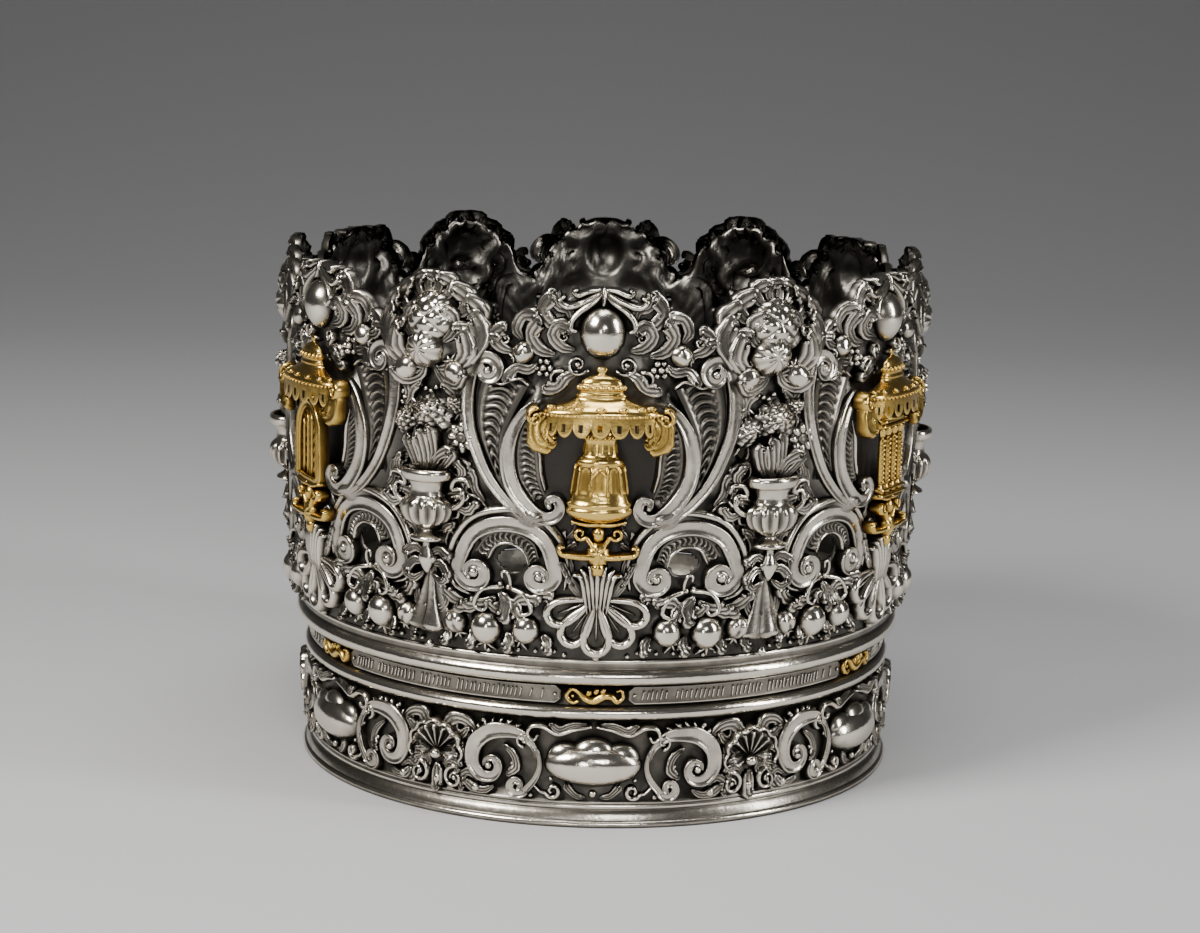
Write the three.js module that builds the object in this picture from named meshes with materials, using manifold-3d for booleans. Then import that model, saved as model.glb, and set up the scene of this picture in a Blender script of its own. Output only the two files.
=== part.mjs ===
// Torah crown: an open silver crown of raised and pierced sheet, six cartouches round,
// with gilt canopies and emblems, flower vases, and a separate base band. Millimetres, +Z up.
// The origin is on the axis at the underside, and the first cartouche faces -Y.
import * as THREE from "three";
import { mergeVertices } from "three/addons/utils/BufferGeometryUtils.js";
import Module from "manifold-3d";

// ---- Driving dimensions ----
const SECTORS = 6; // cartouches round the crown
const ARC_RADIUS = 130; // radius at which widths along the wall are measured
const WALL_THICK = 1.8;
const SINK = 0.3; // how far raised work is sunk into the sheet behind it
const GAP = 0.4; // clearance round every applied piece
const BASE_RADIUS = 127; // outside of the foot
const BASE_BORE = 120.6; // inside of the base band
const FOOT_HEIGHT = 6;
const BAND_RADIUS = 123;
const BAND_TOP = 44;
const LOWER_ROLL = { z: 46.6, radius: 126.6, thick: 2.6 };
const CHANNEL_RADIUS = 123.4; // floor of the inscription channel
const CHANNEL_TOP = 58.2;
const PLATE = { z: 53.8, height: 7.6, thick: 1 };
const UPPER_ROLL = { z: 62, radius: 130, thick: 3.4 };
const WALL_FOOT = 58.6; // underside of the wall, on the base band
const VALLEY = 193; // wall height between the crests
const CREST_HEIGHT = 219;
const CREST_HALF_WIDTH = 26;
const SCROLL_PROUD = 5; // relief of the C-scrolls
const ROUND = 72; // facets round the wall
const ROWS = 2; // facets up the wall

const wasm = await Module();
wasm.setup();

const TURN = 2 * Math.PI;
const sectorAngle = (i) => (i * TURN) / SECTORS;
const halfSector = TURN / SECTORS / 2;

// Outer radius of the plain wall at a height: a neck above the roll, then a slight flare.
const FLARE = [
  [WALL_FOOT, 127.5],
  [75, 128],
  [110, 130.5],
  [160, 133],
  [200, 135],
  [230, 137],
];
function wallRadius(z) {
  const k = Math.max(1, FLARE.findIndex(([height]) => height >= z));
  const [z0, r0] = FLARE[k - 1];
  const [z1, r1] = FLARE[k];
  return r0 + ((r1 - r0) * (z - z0)) / (z1 - z0);
}

// A point at an angle from the front, a height and a radius.
const polar = (angle, z, radius) =>
  new THREE.Vector3(radius * Math.sin(angle), -radius * Math.cos(angle), z);

// ---- Solids ----
function solidOf(geometry) {
  const g = geometry.index ? geometry.clone() : geometry;
  g.deleteAttribute("normal");
  g.deleteAttribute("uv");
  const merged = mergeVertices(g, 1e-4);
  return new wasm.Manifold(
    new wasm.Mesh({
      numProp: 3,
      vertProperties: merged.attributes.position.array,
      triVerts: new Uint32Array(merged.index.array),
    }),
  );
}

function geometryOf(solid) {
  const mesh = solid.getMesh();
  return new THREE.BufferGeometry()
    .setAttribute("position", new THREE.BufferAttribute(mesh.vertProperties, mesh.numProp))
    .setIndex(new THREE.BufferAttribute(mesh.triVerts, 1));
}

const join = (solids) => solids.reduce((sum, s) => sum.add(s));

// A ring about Z from a closed profile of [radius, z].
function ring(profile, facets = 72) {
  const points = [...profile, profile[0]].map(([r, z]) => new THREE.Vector2(r, z));
  return solidOf(new THREE.LatheGeometry(points, facets).rotateX(Math.PI / 2));
}

// A flat outline of [along, up], raised from one relief to another and bent round the wall.
function relief(outline, low, high, angle) {
  const shape = new THREE.Shape(outline.map(([s, z]) => new THREE.Vector2(s, z)));
  const g = new THREE.ExtrudeGeometry(shape, { depth: high - low, bevelEnabled: false });
  const p = g.attributes.position;
  for (let i = 0; i < p.count; i++) {
    const z = p.getY(i);
    const at = polar(angle + p.getX(i) / ARC_RADIUS, z, wallRadius(z) + low + p.getZ(i));
    p.setXYZ(i, at.x, at.y, at.z);
  }
  return solidOf(g);
}

// A dome on the wall, bent with it: half width, half height and depth, and how proud its rim is.
function boss(s, z, width, height, depth, angle, proud = 0, facets = 8) {
  const g = new THREE.SphereGeometry(1, facets, 4);
  const p = g.attributes.position;
  for (let i = 0; i < p.count; i++) {
    const rise = -p.getY(i);
    const out = proud + (rise > 0 ? depth * rise : SINK * rise);
    const turn = angle + (s + width * p.getX(i)) / ARC_RADIUS;
    const at = polar(turn, z + height * p.getZ(i), wallRadius(z) + out);
    p.setXYZ(i, at.x, at.y, at.z);
  }
  return solidOf(g);
}

// A flat outline of [along, up] as an upright plate, from one relief at its middle to another.
function upright(outline, low, high, angle) {
  const shape = new THREE.Shape(outline.map(([s, z]) => new THREE.Vector2(s, z)));
  const g = new THREE.ExtrudeGeometry(shape, { depth: high - low, bevelEnabled: false });
  g.translate(0, 0, low).rotateX(Math.PI / 2).rotateZ(angle);
  return solidOf(g);
}

// ---- Outlines ----
const mirrored = (outline) => outline.map(([s, z]) => [-s, z]).reverse();

// A band along an arc of an ellipse, wider at the middle, from one angle to another in degrees.
function crescent({ s, z, width, height, band, from, to, steps = 6 }) {
  const side = (inset) =>
    Array.from({ length: steps + 1 }, (_, k) => {
      const t = k / steps;
      const a = THREE.MathUtils.degToRad(from + (to - from) * t);
      const w = inset * band * (0.55 + 0.45 * Math.sin(Math.PI * t));
      return [s + (width - w) * Math.cos(a), z + (height - w) * Math.sin(a)];
    });
  return [...side(0), ...side(1).reverse()];
}

const disc = (s, z, radius, sides = 6, squash = 1) =>
  Array.from({ length: sides }, (_, k) => {
    const a = (k * TURN) / sides;
    return [s + radius * Math.cos(a), z + squash * radius * Math.sin(a)];
  });

// ---- Base band ----
const CLOUD = { z: 27, width: 20, height: 8.5, depth: 6.5 };
const SHELL = { z: 28, width: 12, height: 12, depth: 4 };

function baseBand() {
  const roll = LOWER_ROLL;
  const body = ring([
    [BASE_BORE, 0],
    [BASE_RADIUS, 0],
    [BASE_RADIUS, 2.4],
    [BASE_RADIUS - 1.6, FOOT_HEIGHT],
    [BAND_RADIUS, FOOT_HEIGHT + 2],
    [BAND_RADIUS, BAND_TOP - 0.6],
    [roll.radius - 0.6, roll.z - roll.thick * 0.75],
    [roll.radius, roll.z],
    [roll.radius - 0.6, roll.z + roll.thick * 0.75],
    [CHANNEL_RADIUS, roll.z + roll.thick],
    [CHANNEL_RADIUS, CHANNEL_TOP],
    [BASE_BORE, CHANNEL_TOP],
  ]);
  const inset = BAND_RADIUS - wallRadius(CLOUD.z);
  const raised = [];
  for (let i = 0; i < SECTORS; i++) {
    const a = sectorAngle(i);
    raised.push(boss(0, CLOUD.z, CLOUD.width, CLOUD.height, CLOUD.depth, a, inset));
    raised.push(
      boss(0, SHELL.z, SHELL.width, SHELL.height, SHELL.depth, a + halfSector, inset),
    );
  }
  return join([body, ...raised]);
}

// ---- Crown wall ----
const RIM_STEP = TURN / ROUND;

// Height of the scalloped top edge: a rounded crest every half sector, valleys between.
function crestTop(angle) {
  const step = halfSector;
  const off = (angle - step * Math.round(angle / step)) * ARC_RADIUS;
  const x = Math.min(1, Math.abs(off) / CREST_HALF_WIDTH);
  return VALLEY + (CREST_HEIGHT - VALLEY) * Math.pow(1 - x * x, 0.7);
}

// The wall as one closed skin: at each angle a loop of [radius, z] goes up the outside,
// from the roll at the foot to the crest, and down the inside.
function sheet() {
  const { z: roll, radius, thick } = UPPER_ROLL;
  const neck = roll + thick + 2.6;
  const loops = Array.from({ length: ROUND }, (_, i) => {
    const top = crestTop(i * RIM_STEP);
    const levels = Array.from({ length: ROWS + 1 }, (_unused, j) => neck + ((top - neck) * j) / ROWS);
    const outside = levels.map((z) => [wallRadius(z), z]);
    const inside = levels.map((z) => [wallRadius(z) - WALL_THICK, z]).reverse();
    return [
      [BASE_BORE + GAP, WALL_FOOT],
      [radius - 0.8, WALL_FOOT],
      [radius, roll - thick * 0.3],
      [radius, roll + thick * 0.3],
      [radius - 1.4, roll + thick * 0.8],
      ...outside,
      ...inside,
      [BASE_BORE + GAP, roll],
    ];
  });
  const size = loops[0].length;
  const positions = loops.flatMap((loop, i) =>
    loop.flatMap(([r, z]) => polar(i * RIM_STEP, z, r).toArray()),
  );
  const index = [];
  for (let i = 0; i < ROUND; i++) {
    const next = (i + 1) % ROUND;
    for (let j = 0; j < size; j++) {
      const up = (j + 1) % size;
      const [a, b, c, d] = [i * size + j, next * size + j, next * size + up, i * size + up];
      index.push(a, b, c, a, c, d);
    }
  }
  const g = new THREE.BufferGeometry().setIndex(index);
  g.setAttribute("position", new THREE.Float32BufferAttribute(positions, 3));
  return solidOf(g);
}

const UPPER_SCROLL = { s: 14, z: 158, width: 37, height: 32, band: 17, from: -84, to: 56 };
const LOWER_SCROLL = { s: 36, z: 105, width: 22.5, height: 23, band: 10, from: -14, to: 194 };
const VOLUTES = [
  [44, 183, 6],
  [48.5, 102, 7.5],
];
const FOOT_SHELL = { z: 94, length: 20, petals: 5, spread: 64, neck: 14 };
const FRUIT = { s: 43, z: 80, radius: 6.6 };
const CREST_BOSS = { z: 200, width: 9, height: 10, depth: 9 };
const CREST_LEAF = { z: 200, width: 22, height: 15, depth: 5 };
const ARTICHOKE = { z: 197, width: 21, height: 21, depth: 12 };
const PIERCING = { s: 34, z: 107.5, radius: 5.5 }; // under the arch of each lower scroll

// A palmette: a fluted neck above, and a fan of round-ended petals below.
function footShell(angle) {
  const { z, length, petals, spread, neck } = FOOT_SHELL;
  const fan = Array.from({ length: 2 * petals - 1 }, (_, k) => {
    const lean = THREE.MathUtils.degToRad(spread * (1 - k / (petals - 1)));
    const reach = length * (k % 2 ? 0.72 : 1);
    return [reach * Math.sin(lean), z - reach * Math.cos(lean)];
  });
  return relief([...fan, [-6, z + 2], [-5, z + neck], [5, z + neck], [6, z + 2]].reverse(), -SINK, 4, angle);
}

function cartouche(angle) {
  const parts = [footShell(angle)];
  for (const turn of [(o) => o, mirrored]) {
    parts.push(relief(turn(crescent(UPPER_SCROLL)), -SINK, SCROLL_PROUD, angle));
    parts.push(relief(turn(crescent(LOWER_SCROLL)), -SINK, SCROLL_PROUD, angle));
    for (const [s, z, radius] of VOLUTES) {
      parts.push(relief(turn(disc(s, z, radius)), -SINK / 2, SCROLL_PROUD + 1.4, angle));
    }
  }
  return parts;
}

function crownWall() {
  const raised = [sheet()];
  const holes = [];
  for (let i = 0; i < SECTORS; i++) {
    const a = sectorAngle(i);
    raised.push(...cartouche(a));
    const leaf = CREST_LEAF;
    raised.push(boss(0, leaf.z, leaf.width, leaf.height, leaf.depth, a));
    const ball = CREST_BOSS;
    raised.push(boss(0, ball.z, ball.width, ball.height, ball.depth, a, 3));
    const bud = ARTICHOKE;
    raised.push(boss(0, bud.z, bud.width, bud.height, bud.depth, a + halfSector));
    for (const side of [-1, 1]) {
      raised.push(boss(side * FRUIT.s, FRUIT.z, FRUIT.radius, FRUIT.radius, FRUIT.radius, a, 0, 6));
      holes.push(relief(disc(side * PIERCING.s, PIERCING.z, PIERCING.radius), -8, 9, a));
    }
  }
  return join(raised).subtract(join(holes));
}

// ---- Applied pieces ----
const CANOPY_OUTLINE = [
  [-25, 160], [-21, 158], [-15, 164], [0, 160], [15, 164], [21, 158], [25, 160],
  [27, 168], [17, 172], [9, 174], [8, 179], [2, 183], [0, 187],
  [-2, 183], [-8, 179], [-9, 174], [-17, 172], [-27, 168],
];
const EMBLEM_OUTLINE = [
  [-2, 105], [2, 105], [4, 110], [13, 111.5], [13, 114.5], [3, 115.5], [3, 125], [11, 129],
  [11.5, 134], [9, 150], [6, 153], [5, 157], [-5, 157], [-6, 153], [-9, 150], [-11.5, 134],
  [-11, 129], [-3, 125], [-3, 115.5], [-13, 114.5], [-13, 111.5], [-4, 110],
];
const CANOPY = { z: 169, back: 5, front: 9.4 }; // height of its stud, relief of its faces
const EMBLEM = { z: 142, back: 4, front: 7 };
const STUD = 2.5; // half the width of the stud behind an applied plate

// A flat plate standing off the wall on a square stud.
function applied(outline, { z, back, front }, angle) {
  const base = wallRadius(z + STUD);
  const stud = [[-STUD, z - STUD], [STUD, z - STUD], [STUD, z + STUD], [-STUD, z + STUD]];
  return join([
    upright(outline, base + back, base + front, angle),
    upright(stud, base + GAP, base + back + 1, angle),
  ]);
}
const giltCanopy = (angle) => applied(CANOPY_OUTLINE, CANOPY, angle);
const giltEmblem = (angle) => applied(EMBLEM_OUTLINE, EMBLEM, angle);

const VASE = { proud: 5.4, squash: 0.45, profile: [
  [0, 101], [2, 101], [2, 112], [6.5, 113.5], [2.6, 117], [9.5, 125], [9.5, 130],
  [6, 135], [9.5, 142], [6, 150], [0, 150],
] };
const BOUQUET = { z: 155, width: 15.5, height: 14, depth: 8 };
const FAN = [[-1.5, 74], [1.5, 74], [9, 81], [8, 86], [3, 103], [-3, 103], [-8, 86], [-9, 81]];
const HANDLES = [[-17, 137], [-9, 126], [9, 126], [17, 137], [9, 133], [-9, 133]];

function flowerVase(angle) {
  const points = VASE.profile.map(([r, z]) => new THREE.Vector2(r, z));
  const body = new THREE.LatheGeometry(points, 10).rotateX(Math.PI / 2);
  body.scale(1, VASE.squash, 1).translate(0, -wallRadius(140) - VASE.proud, 0).rotateZ(angle);
  const { z, width, height, depth } = BOUQUET;
  return join([
    solidOf(body),
    relief(FAN, 1.4, 7.8, angle),
    relief(HANDLES, 2, 5, angle),
    boss(0, z, width, height, depth, angle, 2.2),
  ]);
}

// A curved strip in the inscription channel, between two angles.
function plate(from, to) {
  const steps = 8;
  const low = CHANNEL_RADIUS + GAP;
  const outline = [];
  for (let k = 0; k <= steps; k++) outline.push([from + ((to - from) * k) / steps, low + PLATE.thick]);
  for (let k = steps; k >= 0; k--) outline.push([from + ((to - from) * k) / steps, low]);
  const shape = new THREE.Shape(outline.map(([a, r]) => new THREE.Vector2(r * Math.sin(a), -r * Math.cos(a))));
  const g = new THREE.ExtrudeGeometry(shape, { depth: PLATE.height, bevelEnabled: false });
  return solidOf(g.translate(0, 0, PLATE.z - PLATE.height / 2));
}

const MOUNT_HALF = 12.5 / ARC_RADIUS; // half the length of a gilt scroll mount, as an angle

// ---- Assembly ----
const SILVER = { color: 0xb9b4aa, roughness: 0.32, metalness: 1 };
const OXIDISED = { color: 0x8f8b84, roughness: 0.4, metalness: 1 };
const GILT = { color: 0xd9ae4a, roughness: 0.3, metalness: 1 };

const crown = new THREE.Group();
function add(name, solid, finish) {
  const mesh = new THREE.Mesh(geometryOf(solid), new THREE.MeshStandardMaterial(finish));
  mesh.name = name;
  crown.add(mesh);
}

add("base_band", baseBand(), SILVER);
add("crown_wall", crownWall(), OXIDISED);
for (let i = 0; i < SECTORS; i++) {
  const a = sectorAngle(i);
  const n = i + 1;
  add(`gilt_canopy_${n}`, giltCanopy(a), GILT);
  add(`gilt_emblem_${n}`, giltEmblem(a), GILT);
  add(`flower_vase_${n}`, flowerVase(a + halfSector), SILVER);
  add(`inscription_plate_${n}`, plate(a + MOUNT_HALF + 0.004, a + 2 * halfSector - MOUNT_HALF - 0.004), SILVER);
  add(`gilt_scroll_mount_${n}`, plate(a - MOUNT_HALF, a + MOUNT_HALF), GILT);
}

export default crown;
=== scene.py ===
"""Torah crown: repousse silver wall on a banded base, with applied vases, gilt canopies and emblems."""
from math import atan2, copysign, cos, degrees, pi, radians, sin

import bpy
import numpy as np
from mathutils import Matrix, Vector


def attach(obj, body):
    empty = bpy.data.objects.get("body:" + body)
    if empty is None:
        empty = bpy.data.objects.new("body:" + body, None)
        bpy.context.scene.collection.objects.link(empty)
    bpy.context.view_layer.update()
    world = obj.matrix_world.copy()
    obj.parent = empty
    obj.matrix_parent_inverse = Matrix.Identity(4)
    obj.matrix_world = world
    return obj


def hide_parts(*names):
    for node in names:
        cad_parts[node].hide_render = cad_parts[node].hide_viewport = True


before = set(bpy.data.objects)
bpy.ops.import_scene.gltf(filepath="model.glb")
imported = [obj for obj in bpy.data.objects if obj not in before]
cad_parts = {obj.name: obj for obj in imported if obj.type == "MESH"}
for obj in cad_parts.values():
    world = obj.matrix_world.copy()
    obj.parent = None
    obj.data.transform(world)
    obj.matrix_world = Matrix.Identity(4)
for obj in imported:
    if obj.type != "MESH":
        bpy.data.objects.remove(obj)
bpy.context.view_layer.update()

# ---- Sizes, in millimetres; s runs along the wall from a cartouche's middle, z is up, h is relief ----
SECTORS = 6
ARC = 130.0  # radius at which s is measured
HALF = pi / SECTORS
VASE = ARC * HALF  # s of a vase's axis
VALLEY = 191.0  # the sheet's top edge between the crests
CREST_TOP = 215.0
SHEET_FOOT = 66.0
SHEET_THICK = 1.1
BAND_RADIUS = 123.0
CHANNEL_RADIUS = 123.6
CANOPY_RADIUS = 133.4
EMBLEM_RADIUS = 131.6
MM = 0.001  # a millimetre in scene units

# The shares made of the steps and sides asked for, so that the whole stays under a million triangles.
LENGTHWISE = 0.55
ROUNDWISE = 0.75

rng = np.random.default_rng(7)

FLARE_Z = [0, 58.6, 75, 110, 160, 200, 230]
FLARE_R = [127.5, 127.5, 127.8, 129.2, 129.6, 127, 126]


def wall_radius(z):
    """The radius of the wall's outside at a height."""
    return np.interp(z, FLARE_Z, FLARE_R)


def band_radius(z):
    """The radius of the frieze, the same at any height."""
    return np.full_like(np.asarray(z, float), BAND_RADIUS)


# ---- Curves and forms, each a tuple of points (s, z, h), faces and painted shading ----
def curve(points, count):
    """A smooth curve through the points, evenly sampled by point number."""
    p = np.array(points, float)
    if p.shape[1] == 2:
        p = np.column_stack([p, np.zeros(len(p))])
    q = np.vstack([2 * p[0] - p[1], p, 2 * p[-1] - p[-2]])
    t = np.linspace(0, len(p) - 1, count)
    i = np.minimum(t.astype(int), len(p) - 2)
    f = (t - i)[:, None]
    a, b, c, d = q[i], q[i + 1], q[i + 2], q[i + 3]
    return 0.5 * (2 * b + (c - a) * f + (2 * a - 5 * b + 4 * c - d) * f**2 + (3 * b - a - 3 * c + d) * f**3)


def spiral(s, z, outer, inner, start, turns, count=14):
    """Points winding in from the outer radius; start in degrees, turns positive anticlockwise."""
    k = np.linspace(0, 1, count)
    r = outer + (inner - outer) * k**0.8
    a = radians(start) + 2 * pi * turns * k
    return [(s + x * cos(b), z + x * sin(b)) for x, b in zip(r, a)]


def along(values, count):
    """A few values spread evenly along a curve."""
    v = np.atleast_1d(np.asarray(values, float))
    return np.interp(np.linspace(0, 1, count), np.linspace(0, 1, len(v)), v)


def grid_faces(rows, cols, wrap=False):
    """Quads over a grid of points; wrap joins the last column to the first."""
    i, j = np.meshgrid(np.arange(rows - 1), np.arange(cols if wrap else cols - 1), indexing="ij")
    k = (j + 1) % cols
    return np.stack([i * cols + j, i * cols + k, (i + 1) * cols + k, (i + 1) * cols + j], -1).reshape(-1, 4)


# Cross-sections, as (across, height, painted shading) from one edge to the other; the painted shading puts
# shade at the edges and grooves and a highlight on the tops.
FLAT_BAND = [(-1, -0.6, 0), (-1, 0.55, 0.45), (-0.84, 0.88, 1), (-0.62, 0.7, 0.8), (0.62, 0.7, 0.8),
    (0.84, 0.88, 1), (1, 0.55, 0.45), (1, -0.6, 0)]
ROLL = [(-1, -0.6, 0), (-1, 0.15, 0.35), (-0.6, 0.8, 0.9), (0, 1, 1), (0.6, 0.8, 0.9), (1, 0.15, 0.35),
    (1, -0.6, 0)]
LEAF = [(-1, -0.4, 0), (-0.95, 0.45, 0.4), (-0.62, 0.86, 1), (-0.3, 0.5, 0.25), (0, 0.95, 1),
    (0.3, 0.5, 0.25), (0.62, 0.86, 1), (0.95, 0.45, 0.4), (1, -0.4, 0)]
LOBE_CUT = 0.38  # how far the nicks between lobes cut into a leaf's width


def sweep(points, width, height, profile=FLAT_BAND, steps=40, base=0.0, lobes=0):
    """A band on the wall along a curve: half widths and heights along it, and a cross-section."""
    steps = max(5, round(LENGTHWISE * steps))
    p = curve(points, steps)
    d = np.gradient(p[:, :2], axis=0)
    d /= np.linalg.norm(d, axis=1)[:, None] + 1e-9
    n = np.column_stack([-d[:, 1], d[:, 0]])
    w = along(width, steps)
    t = np.linspace(0, 1, steps)
    # The cross-section's third column is painted shading, carried along the band.
    u, v, painted_shading = np.array(profile, float).T
    w = w[:, None] * np.ones_like(u)[None]
    if lobes:
        cut = 1 - LOBE_CUT * (1 - np.abs(np.sin(pi * lobes * t)) ** 0.6)[:, None]
        w = w * np.where(np.abs(u)[None] > 0.5, cut, 1)
    hh = along(height, steps)[:, None]
    pts = np.empty((steps, len(u), 3))
    pts[..., 0] = p[:, None, 0] + n[:, None, 0] * u[None] * w
    pts[..., 1] = p[:, None, 1] + n[:, None, 1] * u[None] * w
    pts[..., 2] = p[:, None, 2] + base + v[None] * hh
    faces = [grid_faces(steps, len(u))]
    size = len(u)
    faces.append(np.arange(size)[None, ::-1])
    faces.append(((steps - 1) * size + np.arange(size))[None])
    return pts.reshape(-1, 3), faces, np.tile(painted_shading, steps)


def tube(points, radius, steps=24, sides=8):
    """A round wire or stem; its points may carry their own relief."""
    steps = max(5, round(LENGTHWISE * steps))
    sides = max(5, round(ROUNDWISE * sides))
    u = np.array([(cos(a), sin(a)) for a in np.linspace(0, 2 * pi, sides, endpoint=False)])
    p = curve(points, steps)
    d = np.gradient(p, axis=0)
    d /= np.linalg.norm(d, axis=1)[:, None] + 1e-9
    side = np.column_stack([-d[:, 1], d[:, 0], np.zeros(steps)])
    side /= np.linalg.norm(side, axis=1)[:, None] + 1e-9
    up = np.cross(d, side)
    r = along(radius, steps)[:, None, None]
    pts = p[:, None] + r * (u[None, :, :1] * side[:, None] + u[None, :, 1:] * up[:, None])
    faces = [grid_faces(steps, sides, True), np.arange(sides)[None, ::-1],
        ((steps - 1) * sides + np.arange(sides))[None]]
    # Painted shading: a painted highlight on the front and back of the wire, painted shade along its sides.
    painted_shading = np.tile(0.65 + 0.35 * np.abs(u[:, 1]), steps)
    return pts.reshape(-1, 3), faces, painted_shading


def dome(s, z, width, height, depth, base=0.0, turn=0.0, rings=7, sides=20, outline=None, chase=None,
        reach=105, closed=True):
    """A raised round form; outline(angle) scales its radius, chase(radius, angle) lifts its face."""
    rings = max(3, round(ROUNDWISE * rings))
    sides = max(6, round(ROUNDWISE * sides))
    phi = np.radians(np.linspace(0, reach, rings + 1))[1:]
    a = np.linspace(0, 2 * pi, sides, endpoint=False)
    rr, aa = np.meshgrid(np.sin(phi), a, indexing="ij")
    k = outline(a)[None] if outline else np.ones((1, sides))
    x, y = rr * k * np.cos(aa) * width, rr * k * np.sin(aa) * height
    hh = depth * np.cos(phi)[:, None] * np.ones_like(aa)
    # Painted shading: a painted highlight on the crown, painted shade towards the foot; the chase's raised
    # lines are painted lighter and its cuts darker.
    painted_shading = np.clip(0.35 + 0.75 * np.cos(phi), 0, 1)[:, None] * np.ones_like(aa)
    if chase:
        cut = chase(rr, aa)
        hh = hh + cut
        painted_shading = np.clip(painted_shading + 0.5 * cut / max(0.5, 0.12 * depth), 0, 1)
    c, q = cos(radians(turn)), sin(radians(turn))
    ring = np.stack([s + c * x - q * y, z + q * x + c * y, base + hh], -1).reshape(-1, 3)
    top = chase(np.zeros(1), np.zeros(1))[0] if chase else 0
    pts = np.vstack([ring, [[s, z, base + depth + top]]])
    apex = len(pts) - 1
    j = np.arange(sides)
    faces = [grid_faces(rings, sides, True)[:, ::-1],
        np.column_stack([j, (j + 1) % sides, np.full(sides, apex)])]
    if closed:
        faces.append(((rings - 1) * sides + np.arange(sides))[None, ::-1])
    return pts, faces, np.append(painted_shading.reshape(-1), 1.0)


def ribbon(left, right, height, along_count=90, across_count=7, ribs=0, rib_height=0.9, sag=1.2, base=0.0,
        bow=0.35):
    """The field between two curves: dished, with stacked U-shaped gouges across it."""
    along_count = round(ROUNDWISE * along_count)
    a, b = curve(left, along_count), curve(right, along_count)
    v = np.linspace(0, 1, across_count)[None, :]
    t = np.linspace(0, 1, along_count)[:, None]
    pts = a[:, None] * (1 - v[..., None]) + b[:, None] * v[..., None]
    across = 2 * v - 1
    hollow = (1 - across**2) * sag
    cup = (across / 0.62) ** 2
    wave = np.cos(2 * pi * (t * ribs + bow * cup)) if ribs else 0 * t
    fade = np.clip((1 - cup) * 2.5, 0, 1)
    border = 0.35 * np.cos(2 * pi * 2.6 * across) * np.clip((cup - 0.8) * 2, 0, 1)
    pts[..., 2] += base + height - hollow + rib_height * wave * fade + border
    # Painted shading: painted highlights on the ridges between the gouges and on the border, painted shade
    # in the gouges and the dish.
    painted_shading = 0.34 + 0.42 * wave * fade + 0.7 * border - 0.1 * hollow / max(sag, 0.1)
    painted_shading = np.clip(painted_shading, 0, 1) * np.ones_like(pts[..., 0])
    return pts.reshape(-1, 3), [grid_faces(along_count, across_count)], painted_shading.reshape(-1)


def fan(s, z, radius, start, end, lobes, depth, base=0.5, squash=1.0, rings=9, per=8, dish=0.35,
        scallop=0.12):
    """A scallop shell: ribs radiating from a point, round lobes at its rim, dished between the ribs."""
    count = lobes * per + 1
    a = np.radians(np.linspace(start, end, count))[None, :]
    r = np.linspace(0.08, 1, rings)[:, None]
    phase = np.linspace(0, lobes, count)[None, :]
    rib = np.abs(np.sin(pi * phase))
    edge = 1 - scallop + scallop * rib**0.7
    rad = radius * r * edge
    rim = np.exp(-(((r - 0.93) / 0.07) ** 2))
    hh = base + depth * (0.35 + 0.65 * np.sin(pi * 0.5 * r)) * (1 - dish * rib) + 0.9 * rim + 0 * a
    x, y = s + rad * np.cos(a), z + squash * rad * np.sin(a)
    # Painted shading: painted shade in the dishes between the ribs, a painted highlight on the ribs and the
    # rim; the skirt down to the wall is painted in the darkest shade.
    painted_shading = np.clip(1 - 0.95 * rib * (1 - rim) + 0 * r, 0, 1)
    pts = np.stack([x, y, hh], -1)
    skirt = pts[-1:].copy()
    skirt[..., 2] = -0.4
    pts = np.concatenate([pts, skirt])
    painted_shading = np.vstack([painted_shading, 0 * painted_shading[:1]])
    return pts.reshape(-1, 3), [grid_faces(rings + 1, count)], painted_shading.reshape(-1)


def leaf(points, width, height=2.2, lobes=4, base=0.6, steps=30, tip=1.5):
    """An acanthus leaf: lobed edges, a raised vein, and a tip that lifts off the wall."""
    t = np.linspace(0, 1, 9)
    w = 1.22 * width * (0.25 + np.sin(pi * np.clip(t * 0.9 + 0.06, 0, 1)) ** 0.8)
    w[-1] = 0.34 * width
    p = np.array(points, float)
    if p.shape[1] == 2:
        p = np.column_stack([p, tip * np.linspace(0, 1, len(p)) ** 2])
    a, b, c = p[-3], p[-2], p[-1]
    turn = copysign(1, (b[0] - a[0]) * (c[1] - b[1]) - (b[1] - a[1]) * (c[0] - b[0]))
    heading = atan2(c[1] - b[1], c[0] - b[0])
    radius = 0.5 * width
    middle = (c[0] - turn * radius * sin(heading), c[1] + turn * radius * cos(heading))
    first = heading - turn * pi / 2
    curl = [(middle[0] + radius * (1 - 0.16 * k) * cos(first + turn * 0.8 * k),
        middle[1] + radius * (1 - 0.16 * k) * sin(first + turn * 0.8 * k), c[2] + 0.25 * k)
        for k in range(1, 4)]
    return sweep(np.vstack([p, curl]), np.append(w, [0.24 * width] * 2), height, LEAF, steps + 6, base,
        lobes)


def volute(s, z, radius, start, turns, width, height, base=1.0, steps=34):
    """A scroll end wound into a button."""
    points = spiral(s, z, radius, radius * 0.28, start, turns)
    body = sweep(points, [width, width * 0.62, width * 0.45], [height, height * 1.15, height * 1.2], ROLL,
        steps, base)
    eye = dome(s, z, radius * 0.34, radius * 0.34, height * 1.1, base, rings=4, sides=10)
    return [body, eye]


def leaves(specs, *shape):
    """Leaves of one kind, each given by its points and width."""
    return [leaf(points, w, *shape) for points, w in specs]


def mirror(form):
    """The form on the other side of the sector's middle."""
    pts, faces, painted_shading = form
    out = pts.copy()
    out[:, 0] = -out[:, 0]
    return out, [f[:, ::-1] for f in faces], painted_shading


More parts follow.
